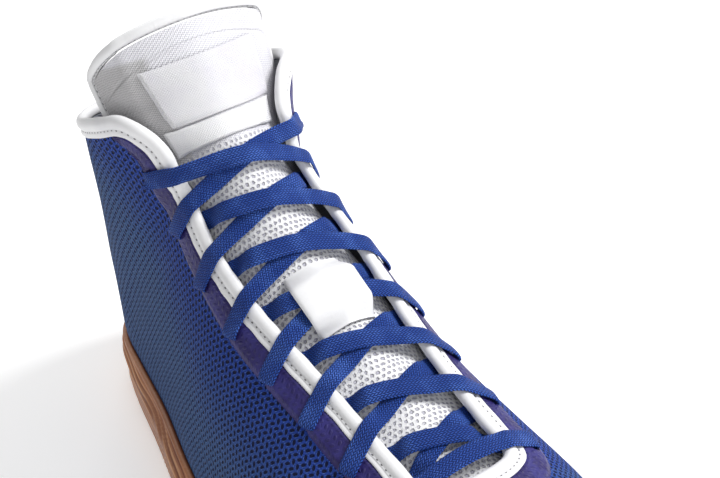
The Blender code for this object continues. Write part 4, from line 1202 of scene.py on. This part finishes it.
def flatten(item, low, high, side):
    """Lays a half flat and turns its map so that the rows run along the throat, in millimetres."""
    select([item])
    mesh = item.data
    mesh.uv_layers.active = mesh.uv_layers["knit"]
    bpy.ops.object.mode_set(mode="EDIT")
    bpy.ops.mesh.select_all(action="SELECT")
    bpy.ops.uv.unwrap(method="CONFORMAL", margin=0.0)
    bpy.ops.object.mode_set(mode="OBJECT")
    layer = mesh.uv_layers["knit"]
    flat = np.empty(len(mesh.loops) * 2)
    layer.data.foreach_get("uv", flat)
    flat = flat.reshape(-1, 2)
    corner = np.empty(len(mesh.loops), int)
    mesh.loops.foreach_get("vertex_index", corner)
    first, last = flat[np.argmax(corner == low)], flat[np.argmax(corner == high)]
    real = (mesh.vertices[high].co - mesh.vertices[low].co).length * MM
    line = unit(last - first)
    turn = np.stack([line, np.array([-line[1], line[0]])])
    flat = (flat - first) @ turn.T * (real / np.linalg.norm(last - first))
    if flat[:, 1].mean() < 0:
        flat[:, 1] *= -1.0
    flat[:, 0] *= side
    layer.data.foreach_set("uv", flat.reshape(-1))


def punch(item):
    """Opens the eyelets: clears the mesh inside each and rounds the edge that is left."""
    shape = bmesh.new()
    shape.from_mesh(item.data)
    radius = EYELET_DIAMETER / 2
    reach = 0.006
    for row, angle in PLACES["outer"] + PLACES["inner"]:
        centre = Vector(last_point(row, angle) + SHIFT)
        normal = Vector(normal_at(row, angle))

        def split(vertex):
            away = vertex.co - centre
            height = away.dot(normal)
            return height, away - normal * height

        inside = []
        for vertex in shape.verts:
            height, flat = split(vertex)
            if abs(height) < reach and flat.length < radius * 0.92:
                inside.append(vertex)
        bmesh.ops.delete(shape, geom=inside, context="VERTS")
        for vertex in shape.verts:
            height, flat = split(vertex)
            if vertex.is_boundary and abs(height) < reach and flat.length < radius * 1.7:
                vertex.co = centre + normal * height + flat.normalized() * radius
    shape.to_mesh(item.data)
    shape.free()


def make_upper():
    """Both halves of the knit as one shell with the lining inside."""
    halves = []
    for side in (-1.0, 1.0):
        points, place = upper_half(side)
        maps = {"knit": place * 0.0, "place": place}
        half = make_grid("half", points, maps, [MESH, LINING], flip=side < 0)
        low, high = (
            int(np.argmin(np.abs(points[:, 0, 0] - end * LAST_LENGTH))) * points.shape[1] for end in KNIT_LINE
        )
        flatten(half, low, high, side)
        halves.append(half)
    select(halves)
    bpy.ops.object.join()
    upper = halves[0]
    upper.name = "knit_upper"
    punch(upper)
    shape = bmesh.new()
    shape.from_mesh(upper.data)
    bmesh.ops.remove_doubles(shape, verts=shape.verts, dist=2e-5)
    shape.to_mesh(upper.data)
    shape.free()
    wall = upper.modifiers.new("wall", "SOLIDIFY")
    wall.thickness = WALL - GAP
    wall.offset = -1.0
    wall.material_offset = 1
    wall.material_offset_rim = 1
    return add_piece(upper, "mesh", "upper")


def edge_strip(rows, angles, distances, offsets, closed):
    """A band that follows an edge. Distances and offsets are profiles; positive is away from it."""
    away = edge_away(rows, angles, closed=closed) * (1.0 if closed else -1.0)
    columns = []
    for distance, offset in zip(distances, offsets):
        columns.append(skin(*walk(rows, angles, away, distance), np.full(len(rows), offset)))
    return np.stack(columns, axis=1)


def make_film():
    """The smooth film along the throat, feathered out into the knit at its outer border."""
    along = FINE_ALONG[FINE_ALONG < THROAT_LENGTH - 0.02 * COLLAR_ROUND]
    rows, outer, inner = throat_edges(along)
    path_rows = np.concatenate([rows[::-1], rows[1:]])
    path_angles = np.concatenate([outer[::-1], inner[1:]])
    room = np.concatenate([along[::-1], along[1:]])
    narrow = ease((room - THROAT_LENGTH + 1.6 * COLLAR_ROUND) / COLLAR_ROUND)
    wide = FILM_SHARE * EYESTAY_WIDTH * (1.0 - 0.45 * narrow)
    low = WALL + 0.0001
    high = WALL + OVERLAY_GAP + EYESTAY_THICK
    shares = np.concatenate([[-0.18, 0.0, 0.03], np.linspace(0.08, 1.0, 13)])
    distances = [LIP_WIDTH + GAP + wide * share for share in shares]
    offsets = [low if share < 0 else high - (high - low) * ease((share - 0.72) / 0.28) for share in shares]
    points = edge_strip(path_rows, path_angles, distances, offsets, False)
    knit = pair(arc_lengths(points[:, 2])[:, None], np.stack(distances, 1)) * MM
    film = make_grid("eyestay_film", points, {"knit": knit}, [FILM], flip=True)
    punch(film)
    return add_piece(film, "film", "eyestay")


def make_binding():
    """The rolled edge with its stitched lip, all round the throat and the collar."""
    rows, angles = fine_edge()
    keys = np.array(BINDING_PROFILE + BINDING_PROFILE[:1]) / MM
    profile, _ = spline(np.concatenate([keys, np.zeros((len(keys), 1))], axis=1), 41)
    profile = profile[:-1]
    points = edge_strip(rows, angles, profile[:, 0], profile[:, 1], True)
    turn = np.arange(len(rows))
    swell = 1.0 + 0.035 * np.sin(turn * 0.9) * np.sin(turn * 0.23)
    middle = points.mean(axis=1, keepdims=True)
    points = middle + (points - middle) * swell[:, None, None]
    run = arc_lengths(np.concatenate([points[:, 3], points[:1, 3]]))
    # Only the lip has a place across, so that the stitches stay on it.
    across = np.where(profile[:, 1] > 0.0021, profile[:, 0], -9.0e-3)
    seam = pair(run[:, None], across[None, :]) * MM
    binding = make_grid("rolled_edge", points, {"seam": seam}, [BINDING], around=True, along=True, flip=True)
    return add_piece(binding, "binding", "collar_binding")


def tongue_swell(along, girth):
    """Soft folds of the tongue."""
    high = along - THROAT_LENGTH
    fold = 0.0
    for start, middle, slant, width, depth in TONGUE_FOLDS:
        line = high - start - slant * (girth - middle)
        fold = fold + depth * np.exp(-((line / width) ** 2)) * np.exp(-(((girth - middle) / 0.014) ** 2))
    return fold


def soften(points, girth):
    """Rounds a sheet over the ridge of the instep, row by row."""
    apart = girth[:, :, None] - girth[:, None, :]
    weight = np.exp(-((apart / SOFT_REACH) ** 2)) * np.gradient(girth, axis=1)[:, None, :]
    weight = weight / weight.sum(axis=2, keepdims=True)
    share = np.exp(-((girth / (2.2 * SOFT_REACH)) ** 2))[..., None]
    return points + (weight @ points - points) * share


def make_tongue():
    """The padded tongue as one closed sheet, its outer face first."""
    across = np.sin(np.linspace(-math.pi / 2, math.pi / 2, 61))
    up = np.concatenate([np.linspace(0.0, 0.80, 110), np.linspace(0.805, 1.0, 50)])
    across, up = np.broadcast_arrays(across[None, :], up[:, None])
    along, girth = tongue_grid(across, up)
    rows = row_along(along)
    angles = angle_grid(rows, girth)
    face = tongue_cover(along, girth)
    outer = soften(skin(rows, angles, face + tongue_swell(along, girth)), girth)
    inner = soften(skin(rows, angles, face - tongue_thickness(along, across, up)), girth)
    points = np.concatenate([outer, inner[:, ::-1]], axis=1)
    place = pair(girth, along - THROAT_LENGTH) * MM
    place = np.concatenate([place, place[:, ::-1]], axis=1)
    tongue = make_grid("padded_tongue", points, {"tongue": place}, [TONGUE], around=True)
    return add_piece(tongue, "tongue_fabric", "tongue")


def angle_grid(rows, girths):
    """Angles at girths where every place has its own row, by way of a table."""
    high, wide = 90, 121
    table_rows = np.linspace(float(rows.min()), float(rows.max()), high)
    reach = np.linspace(float(girths.min()), float(girths.max()), wide)
    table = angles_at(table_rows, np.broadcast_to(reach, (high, wide)))
    u = np.clip((rows - table_rows[0]) / (table_rows[-1] - table_rows[0]) * (high - 1), 0.0, high - 1.001)
    v = np.clip((girths - reach[0]) / (reach[-1] - reach[0]) * (wide - 1), 0.0, wide - 1.001)
    i, j = u.astype(int), v.astype(int)
    u, v = u - i, v - j
    low_side = table[i, j] * (1 - u) + table[i + 1, j] * u
    high_side = table[i, j + 1] * (1 - u) + table[i + 1, j + 1] * u
    return low_side * (1 - v) + high_side * v


def make_patch(name, node, along_range, girth_range, material, fray=0.0, lean=0.0):
    """A thin sewn piece on the tongue with soft edges. Lean is how far its outer edge leans outwards."""
    u = np.linspace(0.0, 1.0, 40)[:, None]
    v = np.linspace(0.0, 1.0, 90)[None, :]
    start = girth_range[0] - lean * u
    girth = start + (girth_range[1] - start) * v
    along = along_range[0] + (along_range[1] - along_range[0]) * u
    along = along + fray * np.sin(girth * 900.0) * (2 * u - 1)
    rim = np.minimum(np.minimum(u, 1 - u) * 14.0, np.minimum(v, 1 - v) * 30.0)
    rise = 2 * GAP + LABEL_THICK * ease(rim) + tongue_swell(along, girth)
    rows = row_along(along)
    points = soften(skin(rows, angle_grid(rows, girth), tongue_cover(along, girth) + rise), girth)
    patch = make_grid(name, points, {"tongue": pair(girth, along - THROAT_LENGTH) * MM}, [material])
    return add_piece(patch, "woven_white", node)


def make_tongue_binding():
    """The roll round the top of the tongue: up one side, across and down the other."""
    side_ups = np.linspace(TONGUE_ROLL_START, 1.0, 40)[:-1]
    top_across = np.linspace(-1.0, 1.0, 90)
    across = np.concatenate([np.full(39, -1.0), top_across, np.full(39, 1.0)])
    up = np.concatenate([side_ups, np.ones(90), side_ups[::-1]])
    along, girth = tongue_grid(across, up)
    rows = row_along(along)
    angles = angle_grid(rows, girth)
    away = edge_away(rows, angles, closed=False)
    face = tongue_cover(along, girth)
    rings = []
    turns = np.arange(24) * 15.0
    for turn in np.radians(turns):
        distance = 1.5 * GAP + TONGUE_ROLL * (0.5 + 0.5 * math.cos(turn))
        lift = -TONGUE_EDGE / 2 + TONGUE_ROLL * 0.55 * math.sin(turn)
        rings.append(skin(*walk(rows, angles, away, distance), face + lift))
    points = np.stack(rings, axis=1)
    seam = pair(arc_lengths(points[:, 0])[:, None] * MM, np.append(turns, 360.0)[None, :] / 18.0)
    roll = make_grid("tongue_roll", points, {"seam": seam}, [TONGUE_ROLL_PAINT], around=True)
    return add_piece(roll, "binding", "tongue_binding")


def lace_stations(start, end, start_over, end_over, middle):
    """Keys of one run between two eyelets: place, the way up the throat, width and thickness."""
    rows = np.array([start[0], end[0]])
    along = along_row(rows)
    girth = np.array([girth_at_angle(*start), girth_at_angle(*end)])
    reach = abs(girth[1] - girth[0])
    first, last = (
        np.array(LACE_OVER_EDGE if over else LACE_UNDER_EDGE) * (1 / MM, 1 / MM, 1.0, 1.0)
        for over in (start_over, end_over)
    )
    flat = LACE_FLAT * (reach / 2 - first[-1, 0])
    middles = np.array([(reach / 2 + step * flat, middle, 1.0, 1.0) for step in (-1, 0, 1)])
    last = last[::-1] * (-1.0, 1.0, 1.0, 1.0) + (reach, 0.0, 0.0, 0.0)
    keys = np.concatenate([first, middles, last])
    share = keys[:, 0] / reach
    path_rows = row_along(along[0] + (along[1] - along[0]) * share)
    path_angles = angles_along(path_rows, girth[0] + (girth[1] - girth[0]) * share)
    centre = skin(path_rows, path_angles, keys[:, 1])
    upward = unit(np.cross(normal_at(path_rows, path_angles), centre[-1] - centre[0]))
    upward = upward * np.sign(dot(upward, slopes_at(path_rows, path_angles)[0]))[:, None]
    return np.concatenate([centre, upward, keys[:, 2:]], axis=1)


def lace_tip(eyelet):
    """The hidden end of the lace, just inside a top eyelet."""
    row, angle = eyelet
    side = -1.0 if angle < 0 else 1.0
    place = np.array((0.0013, 0.0022))
    rows = np.full(2, row)
    turns = angles_along(rows, girth_at_angle(row, angle) - side * place)
    centre = skin(rows, turns, np.array((-0.0008, -0.0016)))
    upward = unit(slopes_at(rows, turns)[0])
    return np.concatenate([centre, upward, np.full((2, 2), (0.62, 1.3))], axis=1)


def lace_chain(near, far):
    """Half of the lacing, from a lowest eyelet up to a top one, over the other half by turns."""
    keys = []
    for number in range(EYELETS - 1, 0, -1):
        middle = LACE_TOP_MIDDLE if near is PLACES["inner"] else LACE_LOW_MIDDLE
        keys.append(lace_stations(near[number], far[number - 1], number < EYELETS - 1, number == 1, middle))
        near, far = far, near
    keys.append(lace_tip(near[0]))
    return np.vstack(keys)


def make_lace():
    """The whole lace as one flat braid, run through the eyelets."""
    outer, inner = PLACES["outer"], PLACES["inner"]
    bar = lace_stations(inner[-1], outer[-1], True, True, LACE_BAR_MIDDLE)
    keys = np.vstack([lace_chain(inner, outer)[::-1], bar, lace_chain(outer, inner)])
    path, run = spline(keys, 1700)
    centre, across = path[:, :3], path[:, 3:6]
    forward = unit(np.gradient(centre, axis=0))
    across = unit(across - forward * dot(across, forward)[:, None])
    normal = np.cross(forward, across)
    sway = 0.10 * np.sin(run * 95.0) + 0.06 * np.sin(run * 231.0 + 1.0)
    across = across * np.cos(sway)[:, None] + normal * np.sin(sway)[:, None]
    normal = np.cross(forward, across)
    turns = np.linspace(0.0, 2 * math.pi, 19)[:-1]
    wide = np.sign(np.cos(turns)) * np.abs(np.cos(turns)) ** 0.62
    thick = np.sign(np.sin(turns)) * np.abs(np.sin(turns)) ** 0.80
    half_wide = (LACE_WIDTH / 2 * path[:, 6:7] * wide)[..., None]
    half_thick = (LACE_THICK / 2 * path[:, 7:8] * 0.96 * thick)[..., None]
    points = centre[:, None] + across[:, None] * half_wide + normal[:, None] * half_thick
    braid = pair(wide[None, :] * LACE_WIDTH / 2, run[:, None]) * MM
    lace = make_grid("flat_lace", points, {"braid": braid}, [LACE], around=True)
    nodes = [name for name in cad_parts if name.startswith(("lace_bar", "lace_cross"))]
    return add_piece(lace, "lace", *nodes)


def make_keeper():
    """The white loop that holds the fifth crossing, with rounded edges."""
    start = along_row(PLACES["outer"][KEEPER_EYELET - 1][0]) - KEEPER_BELOW
    share, turn = np.broadcast_arrays(np.linspace(0.0, 1.0, 64)[:, None], np.linspace(-1.0, 1.0, 30))
    along = start + share * KEEPER_LENGTH
    girth = turn * KEEPER_WIDTH / 2
    base = tongue_cover(along, girth) + GAP
    rise = ease(share / 0.30) * ease((1.0 - share) / 0.28)
    low = base + (OVER_CROSSING + GAP - base) * rise
    rim = np.sqrt(np.clip(1.0 - np.abs(turn) ** 14, 0.0, 1.0))
    rows = row_along(along)
    angles = angle_grid(rows, girth)
    under = skin(rows, angles, low)
    over = skin(rows, angles, low + KEEPER_THICK * (0.25 + 0.75 * rim))
    points = np.concatenate([over, under[:, ::-1]], axis=1)
    place = pair(along, girth + 0.05) * MM
    seam = np.concatenate([place, place[:, ::-1]], axis=1)
    keeper = make_grid("white_loop", points, {"seam": seam}, [LOOP], around=True)
    return add_piece(keeper, "binding", "lace_keeper")


def make_sole_side():
    """The moulded side of the rubber: a lipped top edge and ribs that flow round the shoe."""
    wrap, rib, stand = side_share(1), side_share(2), side_share(3)
    inside = WALL + 2 * GAP

    def top(extra):
        return lambda x: WRAP_HEIGHT * wrap(x) + extra

    def rib_height(extra):
        return lambda x: WRAP_HEIGHT * rib(x) + extra

    def over_ground(extra):
        return lambda x: ground_height(x) + extra

    def out_of(ring):
        tangent = np.roll(ring, -1, axis=0) - np.roll(ring, 1, axis=0)
        return unit(-np.cross(tangent, (0.0, 0.0, 1.0)))

    def side(ring, share):
        return ring + out_of(ring) * (WELT * share * stand(ring[:, 0]) + SIDE_LIFT)[:, None]

    rings = [
        outline(top(0.0), inside - 0.0004),
        outline(top(SIDE_LIFT), inside + 0.0003),
        outline(top(SIDE_LIFT), inside + RUBBER * 0.45),
        outline(top(0.0), inside + RUBBER * 0.80 + SIDE_LIFT),
        outline(rib_height(0.0022), inside + RUBBER + SIDE_LIFT),
    ]
    rings += [side(outline(rib_height(extra), inside), share) for extra, share in SIDE_RIB]
    rings.append(side(outline(SIDE_RISE, inside, level=floor_height), 0.80))
    rings += [side(outline(SIDE_RISE, inside, level=over_ground(rise)), share) for rise, share in SIDE_FOOT]
    curve, turn = smooth(np.stack(rings).reshape(len(rings), -1), 6)
    points = curve.reshape(len(turn), -1, 3)
    points[:, :, 2] = np.maximum(points[:, :, 2], ground_height(points[:, :, 0]) + 0.00005)
    s = arc_lengths(points[40])[None, :]
    steps = np.linalg.norm(np.diff(points, axis=0), axis=-1)
    down = np.concatenate([np.zeros((1, steps.shape[1])), np.cumsum(steps, 0)])
    place = turn[:, None]
    band = ease((place - 3.6) / 0.5) * ease((11.2 - place) / 0.5)
    phase = down / RIB_PITCH + 0.55 * np.sin(s / 0.017) + 0.30 * np.sin(s / 0.0063 + 1.3) + s / 0.060
    ridge = np.sin(phase * 2 * math.pi) * (0.75 + 0.25 * np.sin(s / 0.011 + down * 300.0))
    outs = np.stack([out_of(ring) for ring in points])
    points = points + outs * (RIB_DEPTH * ridge * band)[..., None]
    skirt = make_grid("sole_side", points, {"rib": pair(ridge * band, down * MM)}, [GUM_SIDE], around=True)
    return add_piece(skirt, "gum_rubber")


def paint_node(name, material):
    """Shows a solid as it is, in a material of its own."""
    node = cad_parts[name]
    for slot in node.material_slots:
        slot.material = material
    if not node.material_slots:
        node.data.materials.append(material)


def place_camera():
    azimuth, elevation, roll = (math.radians(value) for value in CAMERA_ANGLES)
    level = math.cos(elevation)
    back = Vector((math.sin(azimuth) * level, -math.cos(azimuth) * level, math.sin(elevation)))
    right = Vector((math.cos(azimuth), math.sin(azimuth), 0.0))
    up = back.cross(right)
    rolled_right = right * math.cos(roll) - up * math.sin(roll)
    rolled_up = right * math.sin(roll) + up * math.cos(roll)
    data = bpy.data.cameras.new("camera")
    data.sensor_width = 36.0
    data.lens = CAMERA_LENS
    data.clip_start = 0.01
    camera = bpy.data.objects.new("camera", data)
    turn = Matrix((rolled_right, rolled_up, back)).transposed().to_4x4()
    camera.matrix_world = Matrix.Translation(Vector(CAMERA_TARGET) + back * CAMERA_DISTANCE) @ turn
    bpy.context.scene.collection.objects.link(camera)
    bpy.context.scene.camera = camera


def add_light(name, place, target, size, energy):
    data = bpy.data.lights.new(name, "AREA")
    data.shape = "DISK"
    data.size = size
    data.energy = energy
    light = bpy.data.objects.new(name, data)
    light.location = place
    light.rotation_euler = (Vector(place) - Vector(target)).to_track_quat("Z", "Y").to_euler()
    bpy.context.scene.collection.objects.link(light)


def make_stage():
    """A plain pale floor under soft studio light."""
    mesh = bpy.data.meshes.new("floor")
    half = 3.0
    corners = [(-half, -half, 0.0), (half, -half, 0.0), (half, half, 0.0), (-half, half, 0.0)]
    mesh.from_pydata(corners, [], [(0, 1, 2, 3)])
    mesh.materials.append(paint_floor())
    floor = bpy.data.objects.new("floor", mesh)
    bpy.context.scene.collection.objects.link(floor)
    world = bpy.data.worlds.new("studio")
    world.use_nodes = True
    sky = world.node_tree.nodes["Background"]
    sky.inputs["Color"].default_value = (1.0, 1.0, 1.0, 1.0)
    sky.inputs["Strength"].default_value = WORLD_LIGHT
    bpy.context.scene.world = world
    bpy.context.scene.view_settings.view_transform = "Standard"
    for light in LIGHTS:
        add_light(*light)


place_camera()
make_stage()
PLACES = eyelet_places()
MESH = paint_mesh()
FILM = paint_film()
LINING = paint_lining()
BINDING = paint_binding("synthetic_white", 0.45, (0.60, 0.60, 0.63))
TONGUE_ROLL_PAINT = paint_binding("tongue_roll_white", 8.4, (0.62, 0.62, 0.64))
LOOP = paint_binding("loop_white", -30.0, (0.70, 0.70, 0.73))
TONGUE = paint_tongue()
LACE = paint_lace()
GUM_SIDE = paint_gum("gum_side", True)
make_lace()
make_upper()
make_film()
make_binding()
make_tongue()
make_tongue_binding()
label_along = (THROAT_LENGTH + LABEL_FROM, THROAT_LENGTH + LABEL_TO - LABEL_EASE)
label_girth = (-LABEL_OUTER - LABEL_EASE / 2, LABEL_INNER)
make_patch("woven_label", "tongue_label", label_along, label_girth, paint_label(), lean=LABEL_EASE)
band_along = (THROAT_LENGTH - BAND_BELOW, THROAT_LENGTH - BAND_BELOW + BAND_WIDTH)
make_patch("woven_band", "tongue_band", band_along, (-BAND_HALF, BAND_HALF), paint_band(), fray=0.0001)
make_keeper()
make_sole_side()
paint_node("outsole", paint_gum("gum_rubber", False))
paint_node("insole", paint_foam())
